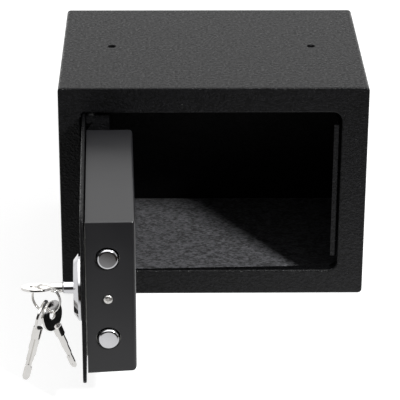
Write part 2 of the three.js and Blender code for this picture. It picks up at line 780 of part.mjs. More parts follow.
function splitRing() {
  const section = new THREE.Shape();
  section.absarc(0, 0, ringWire / 2, 0, Math.PI * 2);
  const settings = {
    steps: Math.round(24 * ringTurns),
    extrudePath: new SplitRing(),
    curveSegments: 3,
    bevelEnabled: false,
  };
  return solid(new THREE.ExtrudeGeometry(section, settings));
}

// Least gap between the ring's two turns, measured on points of its centreline
function ringGap() {
  const points = new SplitRing().getPoints(400);
  const oneTurn = 400 / ringTurns;
  let least = Infinity;
  points.forEach((a, i) => points.forEach((b, j) => {
    if (j - i > oneTurn / 2) least = Math.min(least, a.distanceTo(b));
  }));
  return least - ringWire;
}
console.log('least gap between the turns of the split ring', ringGap().toFixed(2), 'mm');

piece(hang, 'split_ring', splitRing(), nickel);

// A spare key hangs on the ring by its bow's hole, at a place measured round the ring from its
// lowest point. Its blade leans to +X and is set back to +Y, and its bow is turned to face more
// to -Y than the ring's wire does.
function spareKey(name, { place, lean, setback, turn }) {
  const angle = place * degrees;
  const down = new THREE.Vector3(Math.tan(lean * degrees), Math.tan(setback * degrees), -1)
    .normalize();
  const facing = skew.clone().applyAxisAngle(up, -turn * degrees);
  const normal = facing.addScaledVector(down, -facing.dot(down)).normalize();
  const across = new THREE.Vector3().crossVectors(down, normal);
  const key = new THREE.Group();
  key.position.copy(ringCentre)
    .addScaledVector(skew, ringRadius * Math.sin(angle))
    .addScaledVector(up, -ringRadius * Math.cos(angle))
    .addScaledVector(down, keyHang);
  key.quaternion.setFromRotationMatrix(new THREE.Matrix4().makeBasis(across, down, normal));
  hang.add(key);
  piece(key, name, keyBody(), nickel);
}

spareKey('left_spare_key', leftKey);
spareKey('right_spare_key', rightKey);

export default safe;
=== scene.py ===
"""The looks of a small key-operated home safe, modelled round its packed frame."""

import json
import math
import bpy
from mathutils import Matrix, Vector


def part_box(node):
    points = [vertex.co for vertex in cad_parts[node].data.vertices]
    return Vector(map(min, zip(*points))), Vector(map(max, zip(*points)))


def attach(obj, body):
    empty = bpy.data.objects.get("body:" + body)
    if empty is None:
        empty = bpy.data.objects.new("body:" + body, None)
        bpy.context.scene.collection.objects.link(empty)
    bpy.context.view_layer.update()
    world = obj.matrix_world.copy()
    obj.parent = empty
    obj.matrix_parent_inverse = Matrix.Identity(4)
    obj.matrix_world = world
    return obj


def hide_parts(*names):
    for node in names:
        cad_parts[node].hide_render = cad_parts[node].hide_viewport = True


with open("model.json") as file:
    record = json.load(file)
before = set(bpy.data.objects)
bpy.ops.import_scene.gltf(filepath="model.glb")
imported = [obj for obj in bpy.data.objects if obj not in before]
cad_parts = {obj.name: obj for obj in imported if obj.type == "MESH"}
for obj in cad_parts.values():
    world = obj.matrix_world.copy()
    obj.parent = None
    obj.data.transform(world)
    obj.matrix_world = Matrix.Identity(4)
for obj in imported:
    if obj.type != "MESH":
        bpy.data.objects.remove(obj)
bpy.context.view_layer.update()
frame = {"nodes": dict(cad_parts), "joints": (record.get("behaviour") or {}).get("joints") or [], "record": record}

from types import SimpleNamespace

import bmesh
import bpy
from bpy.props import FloatProperty, FloatVectorProperty, PointerProperty
from bpy.types import Operator, Panel, PropertyGroup
from mathutils import Matrix, Vector, noise

bl_info = {
    "name": "Home Safe",
    "version": (1, 0, 0),
    "blender": (4, 5, 0),
    "location": "3D View > Sidebar > Home Safe",
    "description": "Models the pieces of a small key-operated home safe and its studio",
    "category": "Object",
}

MM = 0.001
HALF_TURN = math.pi
QUARTER_TURN = math.pi / 2
# In millimetres: what counts as one point and as one plane, and how far a cutting tool or a
# buried end reaches past a face
MERGE = 1e-4
NEAR = 0.01
OVERCUT = 1
# Cosine from which two directions count as one
ALIGNED = 0.9999


def linear(code):
    """The linear red, green and blue of an sRGB hex colour."""
    channels = [int(code[i : i + 2], 16) / 255 for i in (1, 3, 5)]
    return [c / 12.92 if c <= 0.04045 else ((c + 0.055) / 1.055) ** 2.4 for c in channels]


def length(name, millimetres, description):
    """A length property, with its default in millimetres."""
    return FloatProperty(
        name=name, description=description, default=millimetres * MM, unit="LENGTH", precision=5
    )


def angle(name, degrees, description):
    """An angle property, with its default in degrees."""
    return FloatProperty(
        name=name, description=description, default=math.radians(degrees), unit="ROTATION"
    )


def colour(name, code, description):
    """A colour property, with its default as an sRGB hex colour."""
    return FloatVectorProperty(
        name=name, description=description, default=linear(code), subtype="COLOR", min=0, max=1
    )


class CabinetSizes(PropertyGroup):
    """Sizes of the cabinet and what is fixed in it"""

    sheet: length("Sheet", 2, "Thickness of the cabinet's sheet steel")
    edge_radius: length("Long edge radius", 3, "Outer bend radius of the four long edges")
    inner_radius: length("Inner radius", 0.4, "Least radius of the long edges' inner side")
    front_bend: length("Front edge radius", 1.2, "Radius where the sides meet the front")
    hinge_margin: length("Hinge jamb", 17, "Width of the front beside the hinge")
    lock_margin: length("Lock jamb", 20, "Width of the front beside the lock")
    rail: length("Rails", 20, "Height of the front above and below the opening")
    opening_radius: length("Opening radius", 6.5, "Corner radius on the opening's lock side")
    hinge_radius: length("Hinge corner radius", 1, "Corner radius on the opening's hinge side")
    lip: length("Opening bend", 1.6, "Bend radius where the front turns in at the opening")
    flange: length("Opening flange", 8.4, "Depth of the flange round the opening")
    flange_edge: length("Flange edge", 0.4, "Rounding of the flange's free edge")
    hole_edge: length("Hole edge", 0.4, "Rounding of the top holes' edges")
    top_hole: length("Top hole", 6, "Diameter of the two holes in the top")
    top_hole_spacing: length("Top hole spacing", 154, "Distance between the two top holes")
    top_hole_setback: length("Top hole setback", 87.5, "Distance of the top holes from the front")
    back_hole: length("Back hole", 8, "Diameter of the two holes in the back")
    back_hole_spacing: length("Back hole spacing", 130, "Distance between the two back holes")
    back_hole_height: length("Back hole height", 115, "Height of the back holes above the base")
    back_radius: length("Back corner radius", 1, "Corner radius of the back panel")
    back_edge: length("Back edge", 0.4, "Rounding of the back panel's edges")
    mat_gap: length("Mat gap", 5.6, "How far the mat ends before the back")
    mat_pile: length("Mat pile", 0.16, "How far the felt's surface rises and falls")
    mat_edge: length("Mat edge", 0.5, "How far the mat's pile falls off at its edge")
    mat_grid: length("Mat grid", 1.4, "Spacing of the points of the mat's surface")
    keeper_sheet: length("Keeper sheet", 1.5, "Thickness of the bolt keeper's sheet")
    keeper_stop: length("Keeper stop", 4.5, "Width of the keeper's front flange")
    keeper_gap: length("Keeper gap", 0.7, "Gap between the opening's side and the keeper")
    keeper_foot: length("Keeper foot", 10, "Depth of the keeper's flange on the side wall")
    keeper_bend: length("Keeper bend", 1.8, "Outer bend radius of the keeper")
    keeper_ease: length("Keeper ease", 0.3, "How much wider its rear bends are than its front one")
    keeper_play: length("Keeper play", 0.6, "Gap round the bolts in the keeper's holes")


class DoorSizes(PropertyGroup):
    """Sizes of the door, its cover and its hinge lugs"""

    plate: length("Plate", 2.5, "Thickness of the door plate")
    plate_radius: length("Plate radius", 7, "Corner radius of the door plate")
    plate_edge: length("Plate edge", 0.9, "Rounding of the door plate's edge")
    hinge_gap: length("Hinge gap", 2.5, "Gap between plate and opening on the hinge side")
    lock_gap: length("Lock gap", 2, "Gap between plate and opening on the lock side")
    end_gap: length("End gap", 1, "Gap between plate and opening above and below")
    thickness: length("Door thickness", 37, "From the plate's front to the cover's back")
    cover_sheet: length("Cover sheet", 1.2, "Thickness of the cover's sheet")
    cover_gap: length("Cover gap", 1, "Gap between plate and cover")
    cover_lock: length("Lock side inset", 6.8, "From the plate's end to the cover")
    cover_hinge: length("Hinge side inset", 24, "From the plate's end to the cover")
    cover_end: length("Cover end inset", 6.5, "From the plate's edge to the cover's ends")
    cover_bend: length("Cover bend", 3, "Bend radius of the cover's back edges at its sides")
    cover_low_bend: length("Lower bend", 2.8, "Bend radius of the cover's lower back edge")
    cover_high_bend: length("Upper bend", 2, "Bend radius of the cover's upper back edge")
    cover_edge: length("Cover edge", 1.1, "Radius of the cover's other edges")
    cover_taper: length("Cover taper", 1.5, "How far the cover's lower end rises to the back")
    screw_gap: length("Screw gap", 0.3, "Gap round the screws' shanks and under their heads")
    cover_hole: length("Cover bolt hole", 16.8, "Diameter of the cover's holes for the bolts")
    weld_gap: length("Weld gap", 0.3, "Gap between the plate and the lugs on it")
    lug_sheet: length("Lug sheet", 1.6, "Thickness of the hinge lugs")
    lug_reach: length("Lug reach", 14.5, "From the hinge line to the lug's web")
    lug_depth: length("Lug depth", 20.2, "From the plate's face to the lug's back")
    lug_leaf: length("Lug leaf", 4.2, "From the hinge line to the leaf's free end")
    lug_height: length("Lug height", 27, "Height of the hinge lugs")
    lug_shoulder: length("Lug shoulder", 6, "Width of the lug's sloped shoulder")
    lug_shoulder_height: length("Shoulder height", 7.8, "Height of the lug's sloped shoulder")
    lug_pin_hole: length("Lug pin hole", 5.4, "Diameter of the lug's hole for the hinge pin")
    lug_edge: length("Lug edge", 0.45, "Rounding of the lug's edges")
    screw_head: length("Screw head", 6.4, "Diameter of the cover screws' heads")
    screw_height: length("Screw head height", 1.8, "Height of the cover screws' heads")
    screw_shank: length("Screw shank", 3.6, "Diameter of the cover screws' shanks")
    screw_length: length("Screw length", 7, "Length of the cover screws' shanks")
    screw_side: length("Screw head side", 0.7, "Height of the straight side of the screws' heads")
    screw_slot: length("Screw recess", 0.8, "Width of the cross recess")
    screw_slot_length: length("Recess length", 3.3, "Length of the cross recess")
    screw_slot_depth: length("Recess depth", 0.8, "Depth of the cross recess")


class LockSizes(PropertyGroup):
    """Sizes of the bolts and the lock"""

    bolt: length("Bolt", 15, "Diameter of the bolts")
    bolt_spacing: length("Bolt spacing", 60.5, "Distance between the two bolts")
    bolt_depth: length("Bolt depth", 18, "From the plate's face to the middle of the bolts")
    bolt_out: length("Bolt protrusion", 2.3, "How far the bolts stand out of the cover at rest")
    bolt_throw: length("Bolt throw", 14, "Travel of the bolts")
    bolt_length: length("Bolt length", 42, "Length of the bolts")
    bolt_rounding: length("Bolt rounding", 2, "Radius at the bolts' free ends")
    bolt_tap: length("Bolt screw hole", 6.2, "Diameter of the hole in the bolts' inner ends")
    bolt_tap_depth: length("Screw hole depth", 10, "Depth of the hole in the bolts' inner ends")
    bolt_edge: length("Bolt edge", 0.15, "Rounding of the bolts' inner edges")
    lock_inset: length("Lock inset", 24.9, "From the plate's end to the lock's axis")
    rosette: length("Rosette", 46, "Diameter of the rosette")
    rosette_height: length("Rosette height", 5, "Height of the rosette")
    rosette_rim: length("Rosette rim", 1.8, "Height of the rosette's straight rim")
    rosette_chamfer: length("Rosette chamfer", 4.4, "Width of the rosette's conical edge")
    rosette_wall: length("Rosette wall", 1.4, "Thickness of the rosette's face")
    rosette_edge: length("Rosette edge", 0.25, "Rounding of the rosette's edges")
    rosette_gap: length("Rosette gap", 0.3, "Gap between rosette and plate")
    barrel: length("Barrel", 18.8, "Diameter of the threaded lock barrel")
    nose: length("Nose", 8.2, "Diameter of the lock plug")
    nose_edge: length("Nose edge", 0.5, "Rounding of the plug's edges")
    nose_out: length("Nose length", 7.5, "How far the plug stands out of the rosette")
    barrel_depth: length("Barrel depth", 25, "From the plate's face to the barrel's inner end")
    cam: length("Cam", 2.5, "Thickness of the lock's cam")
    running: length("Running gap", 0.3, "Gap round what turns in the lock")


class KeySizes(PropertyGroup):
    """Sizes of the keys and the split ring"""

    bow_length: length("Bow length", 21.3, "Length of the key's bow")
    bow_width: length("Bow width", 22, "Width of the key's bow")
    bow_thickness: length("Bow thickness", 1.8, "Thickness of the key's bow")
    bow_edge: length("Bow edge", 0.45, "Rounding of the bow's edge")
    bow_hole: length("Bow hole", 6.4, "Diameter of the hole in the bow")
    hole_inset: length("Hole inset", 9.6, "From the bow's end to the middle of its hole")
    barrel: length("Key barrel", 6.8, "Diameter of the key's barrel")
    barrel_edge: length("Key barrel edge", 0.4, "Rounding of the key's barrel")
    barrel_length: length("Key barrel length", 7.3, "Length of the key's barrel")
    blade: length("Blade length", 32.5, "Length of the key's blade")
    blade_width: length("Blade width", 6.4, "Width of the key's blade")
    blade_thickness: length("Blade thickness", 2, "Thickness of the key's blade")
    blade_edge: length("Blade edge", 0.42, "Chamfer round the blade's faces")
    blade_nose: length("Blade nose", 11, "Length of the blade past its last cut")
    blade_tip: length("Blade tip", 2.4, "Length of the blade's tapered tip")
    blade_tip_width: length("Blade tip width", 2.6, "Width of the blade's end")
    cut_slope: length("Cut slope", 0.9, "Length of the slopes between the blade's cuts")
    groove: length("Groove", 1.2, "Width of the groove along the blade")
    groove_end: length("Groove end", 11.6, "From the blade's end to the end of its groove")
    dimple: length("Dimple", 1.3, "Diameter of the dimples near the blade's tip")
    dimple_inset: length("Dimple inset", 3.6, "From the blade's end to the first dimple")
    dimple_spacing: length("Dimple spacing", 7, "Distance between the dimples")
    dimple_side: length("Dimple side", 1.9, "From the blade's middle to the second face's dimples")
    ring_radius: length("Ring radius", 10.5, "Radius of the split ring's wire line")
    ring_wire: length("Ring wire", 1, "Diameter of the split ring's wire")
    ring_gap: length("Ring gap", 0.45, "Gap between the ring's two turns")
    ring_turns: FloatProperty(
        name="Ring turns", description="Turns of the ring's wire", default=1.9
    )
    ring_drop: length("Ring drop", 7, "How far the ring's middle hangs below the bow's hole")
    ring_play: length("Ring play", 0.4, "How far the ring lies off the middle of the hole")
    ring_skew: angle("Ring skew", 21, "Angle between the ring and the cabinet's front")
    key_hang: length("Key hang", 1.8, "From the ring's wire to the middle of a hung key's hole")


class Finishes(PropertyGroup):
    """Colours of the finishes"""

    wrinkle: colour("Cabinet coat", "#09090a", "Wrinkled powder coat of the cabinet")
    satin: colour("Door coat", "#1b1b1d", "Satin powder coat of the door's cover")
    felt_dark: colour("Felt, dark fibres", "#0d0d0f", "Dark fibres of the floor mat")
    felt_light: colour("Felt, light fibres", "#5c5c60", "Light fibres of the floor mat")
    chrome: colour("Chrome", "#dcdcdf", "Chrome plating of bolts, rosette and plug")
    nickel: colour("Nickel", "#ebe9e6", "Nickel plating of keys, ring and screws")
    zinc: colour("Zinc", "#a9aaa6", "Zinc plating of the inner pieces")
    black_zinc: colour("Black zinc", "#2c2c2e", "Black zinc of the bolt screws")
    nylon: colour("Nylon", "#161617", "Moulded nylon of the hinge washers")


class StudioSettings(PropertyGroup):
    """Camera, light and floor"""

    camera_at: FloatVectorProperty(
        name="Camera place",
        description="Where the camera stands",
        default=(-0.03418, -1.46794, 0.72161),
        subtype="TRANSLATION",
        unit="LENGTH",
    )
    pitch: angle("Pitch", 24.907, "How far the camera looks down")
    yaw: angle("Yaw", 1.0076, "How far the camera is turned to the lock side")
    roll: angle("Roll", 0.256, "How far the camera is tilted")
    lens: FloatProperty(name="Lens", description="Focal length in millimetres", default=182.21)
    key_azimuth: angle("Key light azimuth", 41, "Direction of the key light, from the front")
    key_elevation: angle("Key light elevation", 37.3, "Height of the key light")
    key_distance: length("Key light distance", 1700, "Distance of the key light")
    key_size: length("Key light size", 250, "Width of the key light")
    key_power: FloatProperty(name="Key power", description="Power of the key light", default=36)
    top_height: length("Top light height", 1500, "Height of the top light")
    top_size: length("Top light size", 1200, "Width of the top light")
    top_power: FloatProperty(name="Top power", description="Power of the top light", default=5)
    floor_size: length("Floor size", 7000, "Width of the floor")
    floor_tone: colour("Floor", "#b9b9b9", "Colour of the floor")
    floor_white: FloatProperty(
        name="Floor's white", description="What the camera sees of the floor beside its light",
        default=0.83,
    )
    glow_side: length("Bright floor's side", -78, "Where the bright floor's edge turns")
    glow_edge: length("Bright floor's edge", -440, "Depth at which the bright floor ends in front")
    glow_fade: length("Bright floor's fade", 70, "Distance over which it fades to each side")
    glow_turn: angle("Bright floor's turn", 38, "How far the bright floor's edge is turned")
    glow: FloatProperty(
        name="Bright floor", description="What gloss sees of the floor", default=0.86
    )
    glow_dark: colour("Dark floor", "#292420", "What gloss sees past the bright floor's edge")
    glow_boost: FloatProperty(
        name="Bright floor's boost", description="How much brighter it is at the lock side",
        default=1.9,
    )
    boost_start: length("Boost start", 200, "Distance from the turning point where it begins")
    boost_end: length("Boost end", 350, "Distance from the turning point where it is full")
    fill: FloatProperty(name="Fill", description="Soft light from all round", default=0.22)
    overhead: FloatProperty(name="Overhead", description="What gloss sees above", default=1.8)
    surround: FloatProperty(name="Surround", description="What gloss sees behind", default=0.94)


def in_mm(group):
    """A property group's values with its lengths in millimetres, in which pieces are modelled."""
    values = {}
    for name in type(group).__annotations__:
        value = getattr(group, name)
        is_length = group.bl_rna.properties[name].unit == "LENGTH"
        values[name] = value / MM if is_length and isinstance(value, float) else value
    return SimpleNamespace(**values)


def box_mm(node):
    """A CAD node's lowest and highest corner in millimetres."""
    low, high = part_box(node)
    return low / MM, high / MM


def layout(scene):
    """Places in millimetres that follow from the sizes and the frame, with the door shut."""
    cabinet, door = in_mm(scene.safe_cabinet), in_mm(scene.safe_door)
    lock, key = in_mm(scene.safe_lock), in_mm(scene.safe_key)
    low, high = box_mm("cabinet_wrap")
    at = SimpleNamespace(cabinet=cabinet, door=door, lock=lock, key=key)
    at.left, at.right, at.height = low.x, high.x, high.z
    at.front, at.back = box_mm("front_frame")[0].y, high.y
    at.middle = at.height / 2
    at.open_left = at.left + cabinet.hinge_margin
    at.open_right = at.right - cabinet.lock_margin
    at.open_low, at.open_high = cabinet.rail, at.height - cabinet.rail
    at.plate_left = at.open_left + door.hinge_gap
    at.plate_right = at.open_right - door.lock_gap
    at.plate_half = (at.open_high - at.open_low) / 2 - door.end_gap
    at.cover_left = at.plate_left + door.cover_hinge
    at.cover_right = at.plate_right - door.cover_lock
    at.cover_half = at.plate_half - door.cover_end
    at.bolt_y = at.front + lock.bolt_depth
    at.bolt_end = at.cover_right + lock.bolt_out
    at.lock_x = at.plate_right - lock.lock_inset
    at.rosette_face = at.front - lock.rosette_gap - lock.rosette_height
    at.nose_end = at.rosette_face - lock.nose_out
    hinge = next(j for j in frame["joints"] if j["name"] == "door_hinge")
    pivot = Vector(hinge["pos_m"]) / MM
    swing = math.radians(hinge["range_deg"][1])
    at.pivot = pivot
    at.opened = (
        Matrix.Translation(pivot) @ Matrix.Rotation(-swing, 4, "Z") @ Matrix.Translation(-pivot)
    )
    at.blade_start = key.bow_length - key.hole_inset + key.barrel_length
    at.key_end = at.blade_start + key.blade
    turned = QUARTER_TURN * lock.bolt_out / lock.bolt_throw
    at.key_place = (
        at.opened
        @ Matrix.Translation((at.lock_x, at.nose_end - at.blade_start, at.middle))
        @ Matrix.Rotation(-turned, 4, "Y")
    )
    return at


def level(z):
    """Places a drawing flat at a height."""
    return Matrix.Translation((0, 0, z))


def upright(y):
    """Places a drawing upright, its X along X and its Y along Z, at a depth."""
    return Matrix.Translation((0, y, 0)) @ Matrix.Rotation(QUARTER_TURN, 4, "X")


def sideways(x, y=0.0, z=0.0):
    """Places a drawing to face along X, its X along Y and its Y along Z."""
    turn = Matrix(((0, 0, 1, 0), (1, 0, 0, 0), (0, 1, 0, 0), (0, 0, 0, 1)))
    return Matrix.Translation((x, y, z)) @ turn


def edges_between(verts):
    """The edges that join some of these vertices to each other, in the vertices' order."""
    chosen = set(verts)
    edges = [e for v in verts for e in v.link_edges if e.other_vert(v) in chosen]
    return list(dict.fromkeys(edges))


def rectangle(bm, sides, radii, place, segments=6):
    """A loop round a rectangle (x0, x1, y0, y1); radii are of its left and right corners."""
    x0, x1, y0, y1 = sides
    before = set(bm.verts)
    points = ((x0, y0), (x0, y1), (x1, y1), (x1, y0))
    corners = [bm.verts.new(place @ Vector((x, y, 0))) for x, y in points]
    bm.faces.new(corners)
    for pair, radius in ((corners[:2], radii[0]), (corners[2:], radii[1])):
        bmesh.ops.bevel(
            bm, geom=pair, offset=radius, offset_type="OFFSET", segments=segments,
            profile=0.5, affect="VERTICES", material=-1,
        )
    made = [v for v in bm.verts if v not in before]
    loop = edges_between(made)
    face = made[0].link_faces[0]
    bmesh.ops.delete(bm, geom=[face], context="FACES_ONLY")
    return loop


def circle(bm, radius, place, centre=(0, 0), steps=40, stretch=1.0):
    """A loop of edges round a circle or, with a stretch along Y, an ellipse."""
    matrix = place @ Matrix.Translation((*centre, 0)) @ Matrix.Diagonal((1, stretch, 1, 1))
    made = bmesh.ops.create_circle(
        bm, cap_ends=False, segments=steps, radius=radius, matrix=matrix
    )
    return edges_between(made["verts"])


def bridge(bm, loops):
    """Joins each loop to the next with faces."""
    for first, second in zip(loops, loops[1:]):
        bmesh.ops.bridge_loops(bm, edges=first + second)


def cap(bm, *loops):
    """Fills a flat loop, with the loops inside it left open."""
    edges = [e for loop in loops for e in loop]
    bmesh.ops.triangle_fill(bm, edges=edges, use_beauty=True, use_dissolve=False)


def pierce(bm, point, normal, loops):
    """Opens the flat face at a point for the loops that lie in it."""
    point, normal = Vector(point), Vector(normal)
    bm.normal_update()
    flat = [
        f for f in bm.faces
        if abs(f.normal.dot(normal)) > ALIGNED and abs((f.verts[0].co - point).dot(normal)) < NEAR
    ]
    face = max(flat, key=lambda f: f.calc_area())
    rim = list(face.edges)
    bmesh.ops.delete(bm, geom=[face], context="FACES_ONLY")
    cap(bm, rim, *loops)


def rounding(radius, segments=4):
    """Pairs of inset and level round a quarter circle, from a flat face to a side."""
    steps = [QUARTER_TURN * i / segments for i in range(segments + 1)]
    return [(radius * (1 - math.sin(a)), radius * (1 - math.cos(a))) for a in steps]


def plate(bm, outline, place, thickness, edge, holes=()):
    """A flat plate with rounded edges.

    outline(inset, place) adds a loop to the mesh. A hole is its middle's X and Y and its radius.
    """
    near = rounding(edge)
    levels = near + [(inset, thickness - height) for inset, height in reversed(near)]
    rims = [[outline(inset, place(height)) for inset, height in levels]]
    for x, y, radius in holes:
        rims.append([circle(bm, radius + inset, place(height), (x, y)) for inset, height in levels])
    for rim in rims:
        bridge(bm, rim)
    cap(bm, *[rim[0] for rim in rims])
    cap(bm, *[rim[-1] for rim in rims])


def lathe(profile, place, edge=0.0, steps=64, segments=3):
    """A turned solid from pairs of radius and distance along its axis, which is the drawing's Z."""
    bm = bmesh.new()
    points = [bm.verts.new((radius, 0, along)) for radius, along in profile]
    edges = [bm.edges.new(pair) for pair in zip(points, points[1:])]
    bmesh.ops.spin(
        bm, geom=points + edges, cent=(0, 0, 0), axis=(0, 0, 1), dvec=(0, 0, 0),
        angle=2 * HALF_TURN, steps=steps, use_merge=True,
    )
    bmesh.ops.remove_doubles(bm, verts=bm.verts, dist=MERGE)
    bmesh.ops.recalc_face_normals(bm, faces=bm.faces)
    if edge:
        soften(bm, edge, segments)
    bmesh.ops.transform(bm, matrix=place, verts=bm.verts)
    return bm


def soften(bm, radius, segments=3, limit=30):
    """Rounds the edges whose faces meet at more than the limit."""
    bm.normal_update()
    sharp = [e for e in bm.edges if e.is_manifold and e.calc_face_angle() > math.radians(limit)]
    bmesh.ops.bevel(
        bm, geom=sharp, offset=radius, offset_type="OFFSET", segments=segments,
        profile=0.5, affect="EDGES", clamp_overlap=True, material=-1,
    )


def block(x0, x1, y0, y1, z0, z1):
    """A solid block between two corners."""
    bm = bmesh.new()
    centre = ((x0 + x1) / 2, (y0 + y1) / 2, (z0 + z1) / 2)
    size = (abs(x1 - x0), abs(y1 - y0), abs(z1 - z0), 1)
    bmesh.ops.create_cube(bm, size=1, matrix=Matrix.Translation(centre) @ Matrix.Diagonal(size))
    return bm


def loose_object(bm):
    """A bmesh as an object of its own, for use as a tool."""
    mesh = bpy.data.meshes.new("tool")
    bmesh.ops.recalc_face_normals(bm, faces=bm.faces)
    bm.to_mesh(mesh)
    bm.free()
    tool = bpy.data.objects.new("tool", mesh)
    bpy.context.scene.collection.objects.link(tool)
    return tool


def combine(base, joined=(), cut=()):
    """One closed solid from a base, what is joined to it and what is cut out of it."""
    body = loose_object(base)
    tools = [(loose_object(bm), "UNION") for bm in joined]
    tools += [(loose_object(bm), "DIFFERENCE") for bm in cut]
    for tool, operation in tools:
        step = body.modifiers.new(operation, "BOOLEAN")
        step.operation, step.solver, step.object = operation, "EXACT", tool
    bm = applied(body)
    for tool, _ in tools:
        mesh = tool.data
        bpy.data.objects.remove(tool)
        bpy.data.meshes.remove(mesh)
    return bm


def thicken(bm, wall):
    """Gives a sheet its wall, behind its faces, or in front of them where the wall is negative."""
    bmesh.ops.remove_doubles(bm, verts=bm.verts, dist=MERGE)
    sheet = loose_object(bm)
    step = sheet.modifiers.new("Wall", "SOLIDIFY")
    step.thickness, step.use_even_offset = abs(wall), True
    step.offset = -1 if wall > 0 else 1
    return applied(sheet)


def applied(body):
    """The bmesh of an object with its modifiers applied, in place of the object."""
    view = bpy.context.evaluated_depsgraph_get()
    bm = bmesh.new()
    bm.from_mesh(body.evaluated_get(view).to_mesh())
    mesh = body.data
    bpy.data.objects.remove(body)
    bpy.data.meshes.remove(mesh)
    return bm


def finish_piece(bm, name, body, nodes, material, place=None, smooth=35):
    """Makes the object of a piece from its bmesh in millimetres and sets it on the frame."""
    bmesh.ops.remove_doubles(bm, verts=bm.verts, dist=MERGE)
    bmesh.ops.recalc_face_normals(bm, faces=bm.faces)
    matrix = Matrix.Scale(MM, 4) @ (place or Matrix.Identity(4))
    bmesh.ops.transform(bm, matrix=matrix, verts=bm.verts)
    mesh = bpy.data.meshes.new(name)
    bm.to_mesh(mesh)
    bm.free()
    mesh.shade_smooth()
    mesh.set_sharp_from_angle(angle=math.radians(smooth))
    mesh.materials.append(material)
    piece = bpy.data.objects.new(name, mesh)
    bpy.context.scene.collection.objects.link(piece)
    even = piece.modifiers.new("Even shading", "WEIGHTED_NORMAL")
    even.keep_sharp = True
    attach(piece, body)
    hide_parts(*nodes)
    return piece


def add_node(tree, kind, settings=None, **inputs):
    """Adds a node. Inputs are values or sockets; an input named n3 is the fourth socket."""
    made = tree.nodes.new(kind)
    for name, value in (settings or {}).items():
        setattr(made, name, value)
    for name, value in inputs.items():
        numbered = name[0] == "n" and name[1:].isdigit()
        socket = made.inputs[int(name[1:]) if numbered else name.replace("_", " ")]
        if isinstance(value, bpy.types.NodeSocket):
            tree.links.new(value, socket)
        else:
            socket.default_value = value
    return made


def new_material(name):
    """A material without nodes, and its node tree."""
    material = bpy.data.materials.new(name)
    material.use_nodes = True
    material.node_tree.nodes.clear()
    return material, material.node_tree


def rgba(value):
    """A colour property as the four numbers that a colour socket takes."""
    return (*value, 1)


def shade(value, factor):
    """A colour made lighter or darker."""
    return (*[min(1, c * factor) for c in value], 1)


def surface(tree, bump=None, **inputs):
    """Ends a material in its principled surface."""
    if bump is not None:
        inputs["Normal"] = bump
    shader = add_node(tree, "ShaderNodeBsdfPrincipled", None, **inputs)
    add_node(tree, "ShaderNodeOutputMaterial", None, Surface=shader.outputs[0])


def speckle(tree, scale, stretch=(1, 1, 1), detail=2.0, roughness=0.5):
    """Noise on object coordinates: scale in cells per metre, stretch for each axis."""
    place = add_node(tree, "ShaderNodeTexCoord")
    towards = place.outputs["Object"]
    mapped = add_node(tree, "ShaderNodeMapping", None, Vector=towards, Scale=stretch)
    return add_node(
        tree, "ShaderNodeTexNoise", None, Vector=mapped.outputs[0], Scale=scale,
        Detail=detail, Roughness=roughness,
    ).outputs[0]


def mixed(tree, factor, first, second):
    """A colour between two by a factor socket."""
    return add_node(
        tree, "ShaderNodeMix", {"data_type": "RGBA"}, n0=factor, n6=first, n7=second
    ).outputs[2]


def highest(tree, first, second):
    """The higher of two sockets' values."""
    return add_node(
        tree, "ShaderNodeMath", {"operation": "MAXIMUM"}, n0=first, n1=second
    ).outputs[0]


def spread(tree, value, low, high, to_low=0.0, to_high=1.0):
    """A socket's range mapped to another range, clamped."""
    return add_node(
        tree, "ShaderNodeMapRange", None,
        Value=value, From_Min=low, From_Max=high, To_Min=to_low, To_Max=to_high,
    ).outputs[0]


def wrinkled_coat(scene):
    """Polyester powder coat, sprayed and baked to a fine wrinkle.

    Small rounded wrinkles break the reflections into soft sparkles on a near-black colour, which is painted
    lighter on the wrinkles' crests as a painted highlight and darker in their hollows as painted shade.
    The real wrinkles are about 0.5 mm wide; they are drawn 1.4 mm wide, so that they show.
    """
    material, tree = new_material("wrinkled_black_powder_coat")
    base = scene.safe_finishes.wrinkle
    wrinkles = speckle(tree, 700, (0.7, 0.7, 1), 3, 0.6)
    # Painted highlight and shade: the colour runs from a tenth of the base in the wrinkles' hollows to two and a
    # half times it on their crests
    tint = mixed(tree, spread(tree, wrinkles, 0.36, 0.64), shade(base, 0.1), shade(base, 2.5))
    gloss = spread(tree, wrinkles, 0.35, 0.65, 0.5, 0.2)
    bump = add_node(tree, "ShaderNodeBump", None, Strength=1.0, Distance=0.0007, Height=wrinkles)
    surface(tree, bump.outputs[0], Base_Color=tint, Roughness=gloss, Specular_IOR_Level=0.15)
    return material


def satin_coat(scene):
    """Polyester powder coat, sprayed and baked smooth.

    A satin black with a broad soft reflection and the faint waviness of a sprayed coat.
    """
    material, tree = new_material("satin_black_powder_coat")
    base = scene.safe_finishes.satin
    waves = speckle(tree, 320, detail=1)
    patches = speckle(tree, 30, detail=2)
    tint = mixed(tree, spread(tree, patches, 0.3, 0.7), shade(base, 0.93), shade(base, 1.08))
    bump = add_node(tree, "ShaderNodeBump", None, Strength=0.08, Distance=0.0002, Height=waves)
    gloss = spread(tree, patches, 0.3, 0.7, 0.3, 0.36)
    surface(tree, bump.outputs[0], Base_Color=tint, Roughness=gloss, IOR=1.52)
    return material


